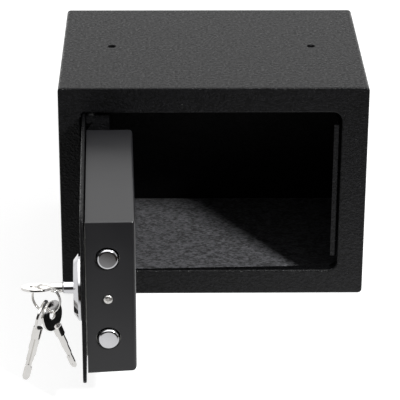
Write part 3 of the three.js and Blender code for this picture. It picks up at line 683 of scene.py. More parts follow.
def needled_felt(scene):
    """Recycled polyester felt, needled and cut.

    Light and dark grey fibres lie in short streaks, with a soft matt surface that has no gloss.
    Fibre bundles are 0.3 mm wide; they are drawn 1.3 mm wide and 3 mm long, so that they show.
    """
    material, tree = new_material("needled_grey_felt")
    finishes = scene.safe_finishes
    fibres = speckle(tree, 760, (0.45, 1, 1), 3, 0.7)
    tufts = speckle(tree, 240, (0.7, 1, 1), 3, 0.6)
    both = add_node(tree, "ShaderNodeMix", None, n0=0.35, n2=fibres, n3=tufts).outputs[0]
    tint = mixed(
        tree, spread(tree, both, 0.43, 0.59), rgba(finishes.felt_dark), rgba(finishes.felt_light)
    )
    bump = add_node(tree, "ShaderNodeBump", None, Strength=0.8, Distance=0.0006, Height=both)
    surface(
        tree, bump.outputs[0], Base_Color=tint, Roughness=1.0, Sheen_Weight=0.1,
        Sheen_Roughness=0.6, Specular_IOR_Level=0.1,
    )
    return material


def plated(name, tone, low, high, smear=90, grain=0.0):
    """A plated metal whose roughness runs from low to high in faint handling marks."""
    material, tree = new_material(name)
    marks = speckle(tree, smear, detail=4, roughness=0.6)
    tint = mixed(tree, spread(tree, marks, 0.3, 0.7), shade(tone, 0.9), rgba(tone))
    gloss = spread(tree, marks, 0.3, 0.7, low, high)
    bump = None
    if grain:
        fine = speckle(tree, 1500, detail=2)
        bump = add_node(
            tree, "ShaderNodeBump", None, Strength=grain, Distance=0.00005, Height=fine
        ).outputs[0]
    surface(tree, bump, Base_Color=tint, Roughness=gloss, Metallic=1.0)
    return material


def bright_chrome(scene):
    """Chrome, electroplated on turned steel: a clear cool mirror with faint wiping marks."""
    return plated("bright_chrome_plate", scene.safe_finishes.chrome, 0.05, 0.12)


def bright_nickel(scene):
    """Nickel, electroplated on stamped brass: a slightly warm mirror, softer than chrome."""
    return plated("bright_nickel_plate", scene.safe_finishes.nickel, 0.05, 0.14, 140, 0.1)


def tumbled_nickel(scene):
    """Nickel, barrel plated on cold-headed screws: light and soft, from tumbling in the barrel."""
    return plated("tumbled_nickel_plate", scene.safe_finishes.nickel, 0.26, 0.36, 300, 0.2)


def zinc_plate(scene):
    """Zinc, electroplated and passivated on cut steel: a cool grey with a cloudy soft shine."""
    return plated("passivated_zinc_plate", scene.safe_finishes.zinc, 0.3, 0.45, 220, 0.3)


def black_zinc_plate(scene):
    """Zinc, plated and blackened: a dark grey metal with a dull sheen on its screws."""
    return plated("blackened_zinc_plate", scene.safe_finishes.black_zinc, 0.35, 0.5, 260, 0.3)


def moulded_nylon(scene):
    """Nylon, injection moulded: black, with a fine matt spark-eroded grain."""
    material, tree = new_material("moulded_black_nylon")
    base = scene.safe_finishes.nylon
    grain = speckle(tree, 1400, detail=2)
    tint = mixed(tree, grain, shade(base, 0.8), shade(base, 1.3))
    bump = add_node(tree, "ShaderNodeBump", None, Strength=0.2, Distance=0.00008, Height=grain)
    surface(tree, bump.outputs[0], Base_Color=tint, Roughness=0.5, IOR=1.53)
    return material


MATERIALS = {
    "cabinet_paint": ("wrinkled_black_powder_coat", wrinkled_coat),
    "door_paint": ("satin_black_powder_coat", satin_coat),
    "felt": ("needled_grey_felt", needled_felt),
    "chrome": ("bright_chrome_plate", bright_chrome),
    "nickel": ("bright_nickel_plate", bright_nickel),
    "zinc_steel": ("passivated_zinc_plate", zinc_plate),
    "black_zinc": ("blackened_zinc_plate", black_zinc_plate),
    "black_nylon": ("moulded_black_nylon", moulded_nylon),
}


def material_of(scene, slot):
    """The material of one of the record's slots, made the first time it is asked for."""
    name, make = MATERIALS[slot]
    return bpy.data.materials.get(name) or make(scene)


class SAFE_OT_cabinet_shell(Operator):
    """Folds the cabinet's sides and front from sheet, with the door opening and the top holes"""

    bl_idname = "home_safe.cabinet_shell"
    bl_label = "Cabinet Shell"

    def execute(self, context):
        scene = context.scene
        at = layout(scene)
        size = at.cabinet
        bm = bmesh.new()

        def wall(inset, y):
            sides = (at.left + inset, at.right - inset, inset, at.height - inset)
            radius = max(size.edge_radius - inset, size.inner_radius)
            return rectangle(bm, sides, (radius, radius), upright(y))

        def opening(grow, y):
            sides = (
                at.open_left - grow, at.open_right + grow, at.open_low - grow, at.open_high + grow,
            )
            radii = (size.hinge_radius + grow, size.opening_radius + grow)
            return rectangle(bm, sides, radii, upright(y))

        bend = [(inset, at.front + y) for inset, y in reversed(rounding(size.front_bend, 5))]
        outside = [wall(0, at.back)] + [wall(inset, y) for inset, y in bend]
        inside = [wall(size.sheet, at.front + size.sheet), wall(size.sheet, at.back)]
        free, edge = at.front + size.flange, size.flange_edge
        inside_front = at.front + size.sheet
        rim = [opening(grow, at.front + y) for grow, y in rounding(size.lip, 6)]
        rim += [opening(grow, free - y) for grow, y in reversed(rounding(edge, 2))]
        rim += [opening(size.sheet - grow, free - y) for grow, y in rounding(edge, 2)]
        rim.append(opening(size.sheet, inside_front))
        bridge(bm, outside)
        bridge(bm, inside)
        bridge(bm, rim)
        cap(bm, outside[0], inside[-1])
        cap(bm, outside[-1], rim[0])
        cap(bm, inside[0], rim[-1])
        # There is no flange where the door's heel swings past and where the keeper stands
        straight = (at.open_high - at.open_low) / 2 - size.opening_radius + NEAR
        for v in {v for loop in rim for e in loop for v in e.verts}:
            hinge_side = v.co.x < at.open_left + size.hinge_radius
            lock_side = v.co.x > at.open_right - NEAR and abs(v.co.z - at.middle) < straight
            if (hinge_side or lock_side) and v.co.y > inside_front:
                v.co.y = inside_front
        edge = rounding(size.hole_edge, 2)
        levels = [(inset, at.height - z) for inset, z in edge]
        levels += [(inset, at.height - size.sheet + z) for inset, z in reversed(edge)]
        y = at.front + size.top_hole_setback
        radius = size.top_hole / 2
        holes = [
            [circle(bm, radius + inset, level(z), (x, y), 32) for inset, z in levels]
            for x in (-size.top_hole_spacing / 2, size.top_hole_spacing / 2)
        ]
        for hole in holes:
            bridge(bm, hole)
        pierce(bm, (0, y, at.height), (0, 0, 1), [hole[0] for hole in holes])
        pierce(bm, (0, y, at.height - size.sheet), (0, 0, 1), [hole[-1] for hole in holes])
        coat = material_of(scene, "cabinet_paint")
        nodes = ("cabinet_wrap", "front_frame")
        finish_piece(bm, "cabinet_shell", "cabinet", nodes, coat)
        return {"FINISHED"}


class SAFE_OT_back_panel(Operator):
    """Cuts the back panel with its two anchor holes"""

    bl_idname = "home_safe.back_panel"
    bl_label = "Back Panel"

    def execute(self, context):
        scene = context.scene
        size = in_mm(scene.safe_cabinet)
        low, high = box_mm("back_panel")
        bm = bmesh.new()

        def outline(inset, place):
            sides = (low.x + inset, high.x - inset, low.z + inset, high.z - inset)
            return rectangle(bm, sides, (size.back_radius, size.back_radius), place, 3)

        holes = [
            (side * size.back_hole_spacing / 2, size.back_hole_height, size.back_hole / 2)
            for side in (-1, 1)
        ]
        depth = high.y - low.y
        plate(bm, outline, lambda y: upright(low.y + y), depth, size.back_edge, holes)
        coat = material_of(scene, "cabinet_paint")
        finish_piece(bm, "back_plate", "cabinet", ["back_panel"], coat)
        return {"FINISHED"}


class SAFE_OT_floor_mat(Operator):
    """Lays the felt mat on the cabinet's floor, with an uneven fibrous surface"""

    bl_idname = "home_safe.floor_mat"
    bl_label = "Floor Mat"

    def execute(self, context):
        scene = context.scene
        size = in_mm(scene.safe_cabinet)
        low, high = box_mm("floor_mat")
        high.y -= size.mat_gap
        bm = bmesh.new()
        counts = [round((high[i] - low[i]) / size.mat_grid) for i in (0, 1)]
        centre = ((low.x + high.x) / 2, (low.y + high.y) / 2, high.z)
        spans = (high.x - low.x, high.y - low.y, 1, 1)
        bmesh.ops.create_grid(
            bm, x_segments=counts[0], y_segments=counts[1], size=0.5,
            matrix=Matrix.Translation(centre) @ Matrix.Diagonal(spans),
        )
        # Tufts of about 2 mm on waves of about 9 mm
        for v in bm.verts:
            rough = noise.noise(v.co * 0.45) + 0.6 * noise.noise(v.co * 0.11)
            edge = size.mat_edge if v.is_boundary else 0
            v.co.z -= size.mat_pile * (0.8 + 0.5 * rough) + edge
        felt = material_of(scene, "felt")
        bm = thicken(bm, high.z - low.z - size.mat_edge)
        mat = finish_piece(bm, "felt_mat", "cabinet", ["floor_mat"], felt, smooth=80)
        return {"FINISHED"}


class SAFE_OT_bolt_keeper(Operator):
    """Folds the keeper behind the opening's lock side, with a hole for each bolt"""

    bl_idname = "home_safe.bolt_keeper"
    bl_label = "Bolt Keeper"

    def execute(self, context):
        scene = context.scene
        at = layout(scene)
        size = at.cabinet
        low, high = box_mm("bolt_keeper")
        sheet = size.keeper_sheet
        web = at.open_right - size.keeper_gap
        path = [
            (web - size.keeper_stop, low.y),
            (web, low.y),
            (web, high.y - sheet),
            (high.x - sheet, high.y - sheet),
            (high.x - sheet, high.y - sheet - size.keeper_foot),
        ]
        bm = bmesh.new()
        points = [bm.verts.new((x, y, low.z)) for x, y in path]
        line = [bm.edges.new(pair) for pair in zip(points, points[1:])]
        raised = bmesh.ops.extrude_edge_only(bm, edges=line)["geom"]
        top = [v for v in raised if isinstance(v, bmesh.types.BMVert)]
        bmesh.ops.translate(bm, verts=top, vec=(0, 0, high.z - low.z))
        folds = [e for e in bm.edges if len(e.link_faces) == 2]
        outer = [e for e in folds if e.verts[0].co.y < low.y + NEAR]
        inner = [e for e in folds if e not in outer]
        inner_bend = size.keeper_bend - sheet + size.keeper_ease
        for edges, radius in ((inner, inner_bend), (outer, size.keeper_bend)):
            bmesh.ops.bevel(
                bm, geom=edges, offset=radius, offset_type="OFFSET", segments=5,
                profile=0.5, affect="EDGES", material=-1,
            )
        radius = at.lock.bolt / 2 + size.keeper_play
        heights = [at.middle + side * at.lock.bolt_spacing / 2 for side in (-1, 1)]
        holes = [circle(bm, radius, sideways(web), (at.bolt_y, z)) for z in heights]
        pierce(bm, (web, at.bolt_y, at.middle), (1, 0, 0), holes)
        bmesh.ops.recalc_face_normals(bm, faces=bm.faces)
        strip = max(bm.faces, key=lambda f: f.calc_area() if f.verts[0].co.x < web + NEAR else 0)
        bm = thicken(bm, sheet if strip.normal.x > 0 else -sheet)
        coat = material_of(scene, "cabinet_paint")
        finish_piece(bm, "keeper_strip", "cabinet", ["bolt_keeper"], coat)
        return {"FINISHED"}


class SAFE_OT_door_plate(Operator):
    """Cuts the door plate with its rounded corners and eased edges"""

    bl_idname = "home_safe.door_plate"
    bl_label = "Door Plate"

    def execute(self, context):
        scene = context.scene
        at = layout(scene)
        size = at.door
        bm = bmesh.new()

        def outline(inset, place):
            half = at.plate_half - inset
            low, high = at.middle - half, at.middle + half
            sides = (at.plate_left + inset, at.plate_right - inset, low, high)
            radius = size.plate_radius - inset
            return rectangle(bm, sides, (radius, radius), place, 10)

        hole = (at.lock_x, at.middle, at.lock.barrel / 2 + at.lock.running)
        plate(bm, outline, lambda y: upright(at.front + y), size.plate, size.plate_edge, [hole])
        coat = material_of(scene, "cabinet_paint")
        finish_piece(bm, "door_front", "door", ["door_plate"], coat, at.opened)
        return {"FINISHED"}


class SAFE_OT_hinge_lugs(Operator):
    """Bends the two lugs by which the door hangs on its pins"""

    bl_idname = "home_safe.hinge_lugs"
    bl_label = "Hinge Lugs"

    def execute(self, context):
        scene = context.scene
        at = layout(scene)
        size = at.door
        sheet = size.lug_sheet
        coat = material_of(scene, "cabinet_paint")
        pivot_line = Matrix.Translation((at.pivot.x, at.pivot.y, 0))
        web = at.pivot.x + size.lug_reach
        inner = at.front + size.plate + size.weld_gap
        back = at.front + size.lug_depth
        end = box_mm("upper_hinge_lug")[1].z
        root, neck, leaf_end = end - size.lug_height, end - size.lug_shoulder_height, end - sheet
        outline = [
            (inner, root), (back, root), (back, end),
            (inner + size.lug_shoulder, end), (inner, neck),
        ]
        bm = bmesh.new()
        face = bm.faces.new([bm.verts.new((web - sheet, y, z)) for y, z in outline])
        raised = bmesh.ops.extrude_face_region(bm, geom=[face])["geom"]
        verts = [v for v in raised if isinstance(v, bmesh.types.BMVert)]
        bmesh.ops.translate(bm, verts=verts, vec=(sheet, 0, 0))
        foot = block(web - 2 * sheet - size.lug_shoulder, web, inner, inner + sheet, root, neck)
        leaf_left, leaf_front = at.pivot.x - size.lug_leaf, at.pivot.y - 2 * sheet
        leaf = block(leaf_left, web, leaf_front, back, leaf_end, end)
        bm = combine(bm, joined=[foot, leaf])
        soften(bm, size.lug_edge)
        radius = size.lug_pin_hole / 2
        low, high = leaf_end - OVERCUT, end + OVERCUT
        ends = [(0, low), (radius, low), (radius, high), (0, high)]
        one = combine(bm, cut=[lathe(ends, pivot_line, 0, 32)])
        flip = level(at.middle) @ Matrix.Diagonal((1, 1, -1, 1)) @ level(-at.middle)
        for name, mirror in (("upper", Matrix.Identity(4)), ("lower", flip)):
            bm = one.copy()
            bmesh.ops.transform(bm, matrix=mirror, verts=bm.verts)
            nodes = [f"{name}_hinge_lug"]
            finish_piece(bm, f"{name}_pin_lug", "door", nodes, coat, at.opened)
        one.free()
        return {"FINISHED"}


class SAFE_OT_door_cover(Operator):
    """Forms the cover: a pan with bent sides, a rounded lower edge and holes for the bolts"""

    bl_idname = "home_safe.door_cover"
    bl_label = "Door Cover"

    def execute(self, context):
        scene = context.scene
        at = layout(scene)
        size = at.door
        front = at.front + size.plate + size.cover_gap
        back = at.front + size.thickness
        bm = bmesh.new()

        def bent(y, radius):
            reach = max(0, y - (back - radius))
            return radius - math.sqrt(max(0, radius**2 - reach**2))

        def station(y):
            side = bent(y, size.cover_bend)
            rise = size.cover_taper * (y - front) / (back - front)
            low = at.middle - at.cover_half + rise + bent(y, size.cover_low_bend)
            high = at.middle + at.cover_half - bent(y, size.cover_high_bend)
            sides = (at.cover_left + side, at.cover_right - side, low, high)
            return rectangle(bm, sides, (size.cover_edge, size.cover_edge), upright(y), 3)

        bends = [back - depth for inset, depth in reversed(rounding(size.cover_bend, 12))]
        loops = [station(y) for y in [front] + bends]
        bridge(bm, loops)
        cap(bm, loops[-1])
        heights = [at.middle + side * at.lock.bolt_spacing / 2 for side in (-1, 1)]
        lock_side = sideways(at.cover_right)
        holes = [circle(bm, size.cover_hole / 2, lock_side, (at.bolt_y, z), 48) for z in heights]
        screw = size.screw_shank / 2 + size.screw_gap
        holes.append(circle(bm, screw, lock_side, (at.bolt_y, at.middle), 20))
        pierce(bm, (at.cover_right, at.bolt_y, at.middle), (1, 0, 0), holes)
        hinge_side = [circle(bm, screw, sideways(at.cover_left), (at.bolt_y, at.middle), 20)]
        pierce(bm, (at.cover_left, at.bolt_y, at.middle), (1, 0, 0), hinge_side)
        bm = thicken(bm, size.cover_sheet)
        coat = material_of(scene, "door_paint")
        finish_piece(bm, "door_pan", "door", ["door_cover"], coat, at.opened, 40)
        return {"FINISHED"}


class SAFE_OT_bolts(Operator):
    """Turns the two round bolts with their rounded ends"""

    bl_idname = "home_safe.bolts"
    bl_label = "Bolts"

    def execute(self, context):
        scene = context.scene
        at = layout(scene)
        size = at.lock
        radius = size.bolt / 2
        start = at.bolt_end - size.bolt_length
        tap, tapped = size.bolt_tap / 2, start + size.bolt_tap_depth
        profile = [(0, tapped), (tap, tapped), (tap, start), (radius, start)]
        round_end = rounding(size.bolt_rounding, 10)
        profile += [(radius - inset, at.bolt_end - back) for inset, back in reversed(round_end)]
        profile.append((0, at.bolt_end))
        chrome = material_of(scene, "chrome")
        for name, side in (("upper", 1), ("lower", -1)):
            place = sideways(0, at.bolt_y, at.middle + side * size.bolt_spacing / 2)
            bm = lathe(profile, place, size.bolt_edge)
            nodes = [f"{name}_bolt"]
            finish_piece(bm, f"{name}_round_bolt", "bolts", nodes, chrome, at.opened)
        return {"FINISHED"}


class SAFE_OT_cover_screws(Operator):
    """Turns the cover's two pan-head screws and cuts their cross recesses"""

    bl_idname = "home_safe.cover_screws"
    bl_label = "Cover Screws"

    def execute(self, context):
        scene = context.scene
        at = layout(scene)
        size = at.door
        radius, high = size.screw_head / 2, size.screw_height
        shank = size.screw_shank / 2
        dome = [
            (radius * math.cos(a), size.screw_side + (high - size.screw_side) * math.sin(a))
            for a in (QUARTER_TURN * i / 8 for i in range(1, 9))
        ]
        dome[-1] = (0, high)
        tip = -size.screw_length
        profile = [(0, tip), (shank, tip), (shank, 0), (radius, 0), (radius, size.screw_side)]
        nickel = tumbled_nickel(scene)
        floor, over = high - size.screw_slot_depth, high + OVERCUT
        half, reach = size.screw_slot / 2, size.screw_slot_length / 2
        for name, seat, turn in (
            ("lock_side", at.cover_right + size.screw_gap, 0),
            ("hinge_side", at.cover_left - size.screw_gap, HALF_TURN),
        ):
            bars = [
                block(-half, half, -reach, reach, floor, over),
                block(-reach, reach, -half, half, floor, over),
            ]
            bm = combine(lathe(profile + dome, Matrix.Identity(4), 0, 40), cut=bars)
            place = at.opened @ Matrix.Translation((seat, at.bolt_y, at.middle))
            place = place @ Matrix.Rotation(turn, 4, "Z") @ sideways(0)
            nodes = [f"{name}_screw"]
            finish_piece(bm, f"{name}_pan_screw", "door", nodes, nickel, place)
        return {"FINISHED"}


class SAFE_OT_lock(Operator):
    """Turns the rosette and the lock plug, whose nose has the keyway"""

    bl_idname = "home_safe.lock"
    bl_label = "Lock"

    def execute(self, context):
        scene = context.scene
        at = layout(scene)
        size, key = at.lock, at.key
        radius = size.rosette / 2
        face, seat = at.rosette_face, at.front - size.rosette_gap
        bore, hollow = size.nose / 2 + size.running, size.barrel / 2 + size.running
        profile = [
            (bore, face), (radius - size.rosette_chamfer, face), (radius, seat - size.rosette_rim),
            (radius, seat), (hollow, seat), (hollow, face + size.rosette_wall),
            (bore, face + size.rosette_wall), (bore, face),
        ]
        along_y = Matrix.Rotation(-QUARTER_TURN, 4, "X")
        place = Matrix.Translation((at.lock_x, 0, at.middle)) @ along_y
        chrome = material_of(scene, "chrome")
        bm = lathe(profile, place, size.rosette_edge, 96)
        finish_piece(bm, "rosette", "door", ["lock_rosette"], chrome, at.opened)
        low = at.blade_start + size.running
        plug_end = at.front + size.barrel_depth + size.cam - (at.nose_end - at.blade_start)
        nose = size.nose / 2
        ends = [(0, low), (nose, low), (nose, plug_end), (0, plug_end)]
        plug = lathe(ends, along_y, size.nose_edge, 48)
        wide, thick = key.blade_width / 2 + size.running, key.blade_thickness / 2 + size.running
        keyway = block(-thick, thick, low - OVERCUT, at.key_end + size.running, -wide, wide)
        bm = combine(plug, cut=[keyway])
        finish_piece(bm, "plug_nose", "key", ["lock_plug"], chrome, at.key_place)
        return {"FINISHED"}


# Depths in millimetres of the cuts along the blade's two edges, from the bow to the tip
UPPER_CUTS = (0.1, 0.3, 0.2, 0.8, 1.3, 0.4)
LOWER_CUTS = (0.3, 0.1, 0.6, 0.5, 1.0, 0.8)

# Each spare key's place round the ring, lean, setback and turn, in degrees
HUNG_KEYS = {"left": (-18, -14.5, -4, 173), "right": (17, 16.5, 14.5, 8)}


def cut_edge(at, depths, side):
    """Points along one edge of a key's blade: its cuts, its nose and its end."""
    size = at.key
    half, nose = size.blade_width / 2, len(depths) - 1
    span = (size.blade - size.blade_nose) / nose
    points = [(side * half, at.blade_start - OVERCUT)]
    for i, deep in enumerate(depths):
        start = at.blade_start + i * span
        stop = start + span if i < nose else at.key_end - size.blade_tip
        points += [(side * (half - deep), start + size.cut_slope), (side * (half - deep), stop)]
    return points + [(side * size.blade_tip_width / 2, at.key_end)]


def key_blade(at):
    """A key's blade lying flat, with what is cut into its two faces."""
    size = at.key
    depth = size.blade_thickness / 2
    points = cut_edge(at, UPPER_CUTS, 1) + cut_edge(at, LOWER_CUTS, -1)[::-1]
    blade = bmesh.new()
    face = blade.faces.new([blade.verts.new((x, y, -depth)) for x, y in points])
    raised = bmesh.ops.extrude_face_region(blade, geom=[face])["geom"]
    top = [v for v in raised if isinstance(v, bmesh.types.BMVert)]
    bmesh.ops.translate(blade, verts=top, vec=(0, 0, 2 * depth))
    bmesh.ops.recalc_face_normals(blade, faces=blade.faces)
    bmesh.ops.bevel(
        blade, geom=list(blade.edges), offset=size.blade_edge, offset_type="OFFSET", segments=1,
        profile=0.5, affect="EDGES", clamp_overlap=True, material=-1,
    )
    start, stop = at.blade_start + OVERCUT, at.key_end - size.groove_end
    corner = Matrix.Rotation(QUARTER_TURN / 2, 4, "Y")
    side = size.groove / math.sqrt(2) / 2
    grooves = []
    for face in (-depth, depth):
        groove = block(-side, side, start, stop, -side, side)
        bmesh.ops.transform(groove, matrix=level(face) @ corner, verts=groove.verts)
        grooves.append(groove)
    first = at.key_end - size.dimple_inset
    marks = [(0, first, 1), (0, first - size.dimple_spacing, 1)]
    steps = [share * size.dimple_inset for share in (0.6, 1.95, 3.15)]
    marks += [(-size.dimple_side, first - step, -1) for step in steps]
    # Each dimple is cut by a cone that flares a little past the face
    point, flare, tall, lift = 0.1, 0.2, 0.9, 0.05
    dimples = []
    for x, y, side in marks:
        cone = bmesh.new()
        turn = Matrix.Rotation(0 if side > 0 else HALF_TURN, 4, "X")
        bmesh.ops.create_cone(
            cone, cap_ends=True, segments=20, radius1=point, radius2=size.dimple / 2 + flare,
            depth=tall, matrix=Matrix.Translation((x, y, side * (depth + lift))) @ turn,
        )
        dimples.append(cone)
    return combine(blade, cut=grooves + dimples)


def key_solid(at):
    """A key with its bow's hole at the origin and its blade along Y, square to the bow."""
    size = at.key
    middle = size.bow_length / 2 - size.hole_inset
    thin = size.bow_thickness / 2
    bow = bmesh.new()

    def oval(inset, place):
        across = size.bow_width / 2 - inset
        stretch = (size.bow_length / 2 - inset) / across
        return circle(bow, across, place, (0, middle), 72, stretch)

    plate(
        bow, oval, lambda z: level(z - thin), size.bow_thickness, size.bow_edge,
        [(0, 0, size.bow_hole / 2)],
    )
    along_y = Matrix.Rotation(-QUARTER_TURN, 4, "X")
    radius = size.barrel / 2
    start, end = at.blade_start - size.barrel_length - OVERCUT, at.blade_start
    ends = [(0, start), (radius, start), (radius, end), (0, end)]
    barrel = lathe(ends, along_y, size.barrel_edge, 48)
    blade = key_blade(at)
    bmesh.ops.transform(blade, matrix=Matrix.Rotation(QUARTER_TURN, 4, "Y"), verts=blade.verts)
    return combine(bow, joined=[barrel, blade])


def ring_frame(at):
    """The split ring's middle and its directions, in the ring's plane, upward and across it."""
    size = at.key
    along = Vector((math.cos(size.ring_skew), -math.sin(size.ring_skew), 0))
    upward = Vector((0, 0, 1))
    chord = math.sqrt(size.ring_radius**2 - size.ring_drop**2)
    hole = at.key_place.translation
    centre = hole + Vector((size.ring_play, 0, -size.ring_drop)) + along * chord
    return centre, along, upward


def hung_key_place(at, place, lean, setback, turn):
    """Where a spare key hangs: its place round the ring, its lean, its setback and its turn."""
    centre, along, upward = ring_frame(at)
    size = at.key
    down = Vector((math.tan(lean), math.tan(setback), -1)).normalized()
    facing = Matrix.Rotation(-turn, 3, "Z") @ along
    normal = (facing - down * facing.dot(down)).normalized()
    across = down.cross(normal)
    wire = centre + size.ring_radius * (along * math.sin(place) - upward * math.cos(place))
    matrix = Matrix((across, down, normal)).transposed().to_4x4()
    matrix.translation = wire + down * size.key_hang
    return matrix


class SAFE_OT_keys(Operator):
    """Cuts the key in the lock and the two spare keys, with bow, barrel, cut blade and dimples"""

    bl_idname = "home_safe.keys"
    bl_label = "Keys"

    def execute(self, context):
        scene = context.scene
        at = layout(scene)
        nickel = material_of(scene, "nickel")
        one = key_solid(at)
        finish_piece(
            one.copy(), "lock_key", "key", ["key_in_lock"], nickel, at.key_place, 30
        )
        for side, angles in HUNG_KEYS.items():
            place = hung_key_place(at, *[math.radians(a) for a in angles])
            nodes = [f"{side}_spare_key"]
            finish_piece(
                one.copy(), f"{side}_hung_key", f"{side}_key", nodes, nickel, place, 30
            )
        one.free()
        return {"FINISHED"}


class SAFE_OT_split_ring(Operator):
    """Winds the split ring from wire, as nearly two turns side by side"""

    bl_idname = "home_safe.split_ring"
    bl_label = "Split Ring"

    def execute(self, context):
        scene = context.scene
        at = layout(scene)
        size = at.key
        turns, steps = size.ring_turns, 150
        pitch = size.ring_wire + size.ring_gap
        bm = bmesh.new()
        start = QUARTER_TURN - turns * HALF_TURN
        turned = Matrix.Rotation(start, 4, "Z")
        lift = -pitch * turns / 2
        section = turned @ Matrix.Translation((size.ring_radius, 0, lift)) @ upright(0)
        made = bmesh.ops.create_circle(
            bm, cap_ends=True, segments=14, radius=size.ring_wire / 2, matrix=section
        )
        verts = made["verts"]
        geom = list(verts) + edges_between(verts) + list(verts[0].link_faces)
        bmesh.ops.spin(
            bm, geom=geom, cent=(0, 0, 0), axis=(0, 0, 1), dvec=(0, 0, pitch * turns / steps),
            angle=turns * 2 * HALF_TURN, steps=steps, use_merge=False,
        )
        centre, along, upward = ring_frame(at)
        across = along.cross(upward)
        matrix = Matrix((along, upward, across)).transposed().to_4x4()
        matrix.translation = centre
        nickel = material_of(scene, "nickel")
        finish_piece(bm, "wire_ring", "ring", ["split_ring"], nickel, matrix, 50)
        return {"FINISHED"}


class SAFE_OT_inner_works(Operator):
    """Gives the hinge parts, the boltwork and the lock's inner pieces their finishes"""

    bl_idname = "home_safe.inner_works"
    bl_label = "Inner Works"

    def execute(self, context):
        scene = context.scene
        slots = {s["node"]: s["material_slot"] for s in frame["record"]["subparts"]}
        for name, node in frame["nodes"].items():
            if not node.hide_render:
                node.data.materials.clear()
                node.data.materials.append(material_of(scene, slots[name]))
        return {"FINISHED"}


class SAFE_OT_stage(Operator):
    """Sets up the floor, the backdrop, the light and the camera"""

    bl_idname = "home_safe.stage"
    bl_label = "Studio"

    def execute(self, context):
        scene = context.scene
        studio = scene.safe_studio
        self.floor(scene, studio)
        self.world(scene, studio)
        self.lamps(scene, studio)
        self.camera(scene, studio)
        scene.view_settings.view_transform = "Standard"
        return {"FINISHED"}

    def floor(self, scene, studio):
        bm = bmesh.new()
        # A little below the cabinet's base, so that the two don't meet in one plane
        matrix = Matrix.Translation((0, 0, -0.2 * MM)) @ Matrix.Scale(studio.floor_size, 4)
        bmesh.ops.create_grid(bm, x_segments=1, y_segments=1, size=0.5, matrix=matrix)
        mesh = bpy.data.meshes.new("studio_floor")
        bm.to_mesh(mesh)
        bm.free()
        floor = bpy.data.objects.new("studio_floor", mesh)
        scene.collection.objects.link(floor)
        material, tree = new_material("white_studio_floor")
        rays = add_node(tree, "ShaderNodeLightPath")
        seen = highest(tree, rays.outputs["Is Camera Ray"], rays.outputs["Is Transmission Ray"])
        paint = add_node(tree, "ShaderNodeBsdfDiffuse", None, Color=rgba(studio.floor_tone))
        glow = add_node(
            tree, "ShaderNodeEmission", None, Color=(1, 1, 1, 1),
            Strength=spread(tree, seen, 0, 1, 0, studio.floor_white),
        )
        lit = add_node(tree, "ShaderNodeAddShader", None, n0=paint.outputs[0], n1=glow.outputs[0])
        # The bright floor ends in front of the object, which gloss on upright faces shows
        place = add_node(tree, "ShaderNodeTexCoord")
        turned = add_node(
            tree, "ShaderNodeMapping", {"vector_type": "TEXTURE"}, Vector=place.outputs["Object"],
            Location=(studio.glow_side, studio.glow_edge, 0), Rotation=(0, 0, studio.glow_turn),
        )
        parts = add_node(tree, "ShaderNodeSeparateXYZ", None, Vector=turned.outputs[0])
        near = spread(tree, parts.outputs["Y"], -studio.glow_fade, studio.glow_fade)
        tone = mixed(tree, near, rgba(studio.glow_dark), shade((1, 1, 1), studio.glow))
        # Nearer to the lock side it is brighter still, which the front's lower end shows
        along = parts.outputs["X"]
        boost = spread(tree, along, studio.boost_start, studio.boost_end, 1, studio.glow_boost)
        mirrored = add_node(tree, "ShaderNodeEmission", None, Color=tone, Strength=boost)
        both = add_node(
            tree, "ShaderNodeMixShader", None,
            n0=rays.outputs["Is Glossy Ray"], n1=lit.outputs[0], n2=mirrored.outputs[0],
        )
        add_node(tree, "ShaderNodeOutputMaterial", None, Surface=both.outputs[0])
        mesh.materials.append(material)

    def world(self, scene, studio):
        world = bpy.data.worlds.new("studio_world")
        scene.world = world
        world.use_nodes = True
        tree = world.node_tree
        tree.nodes.clear()
        rays = add_node(tree, "ShaderNodeLightPath")
        towards = add_node(tree, "ShaderNodeTexCoord")
        parts = add_node(tree, "ShaderNodeSeparateXYZ", None, Vector=towards.outputs["Generated"])
        # Gloss sees white above and behind the object, and dark on the photographer's side
        front_end, back_start, dark = -0.5, 0.1, 0.03
        side_end, top_start = 0.5, 0.7
        behind = spread(tree, parts.outputs["Y"], front_end, back_start, dark, studio.surround)
        above = spread(tree, parts.outputs["Z"], side_end, top_start, 0, studio.overhead)
        shine = highest(tree, behind, above)
        glossy = highest(tree, rays.outputs["Is Glossy Ray"], rays.outputs["Is Transmission Ray"])
        lit = add_node(tree, "ShaderNodeMix", None, n0=glossy, n2=studio.fill, n3=shine)
        camera = rays.outputs["Is Camera Ray"]
        seen = add_node(tree, "ShaderNodeMix", None, n0=camera, n2=lit.outputs[0], n3=1.0)
        sky = add_node(
            tree, "ShaderNodeBackground", None, Color=(1, 1, 1, 1), Strength=seen.outputs[0]
        )
        add_node(tree, "ShaderNodeOutputWorld", None, Surface=sky.outputs[0])

    def lamps(self, scene, studio):
        # Both lamps aim at the cabinet's front, below its middle
        aim = Vector((0, -80, 60)) * MM
        azimuth, elevation = studio.key_azimuth, studio.key_elevation
        level_x, level_y = math.sin(azimuth), -math.cos(azimuth)
        reach, rise = math.cos(elevation), math.sin(elevation)
        key_at = aim + studio.key_distance * Vector((level_x * reach, level_y * reach, rise))
        top_at = Vector((0, 100 * MM, studio.top_height))
        self.lamp(scene, "key_light", key_at, aim, studio.key_size, studio.key_power)
        self.lamp(scene, "top_light", top_at, aim, studio.top_size, studio.top_power)

    def lamp(self, scene, name, at, aim, size, power):
        data = bpy.data.lights.new(name, "AREA")
        data.size, data.energy = size, power
        lamp = bpy.data.objects.new(name, data)
        lamp.location = at
        lamp.rotation_mode = "QUATERNION"
        lamp.rotation_quaternion = (aim - at).to_track_quat("-Z", "Y")
        scene.collection.objects.link(lamp)

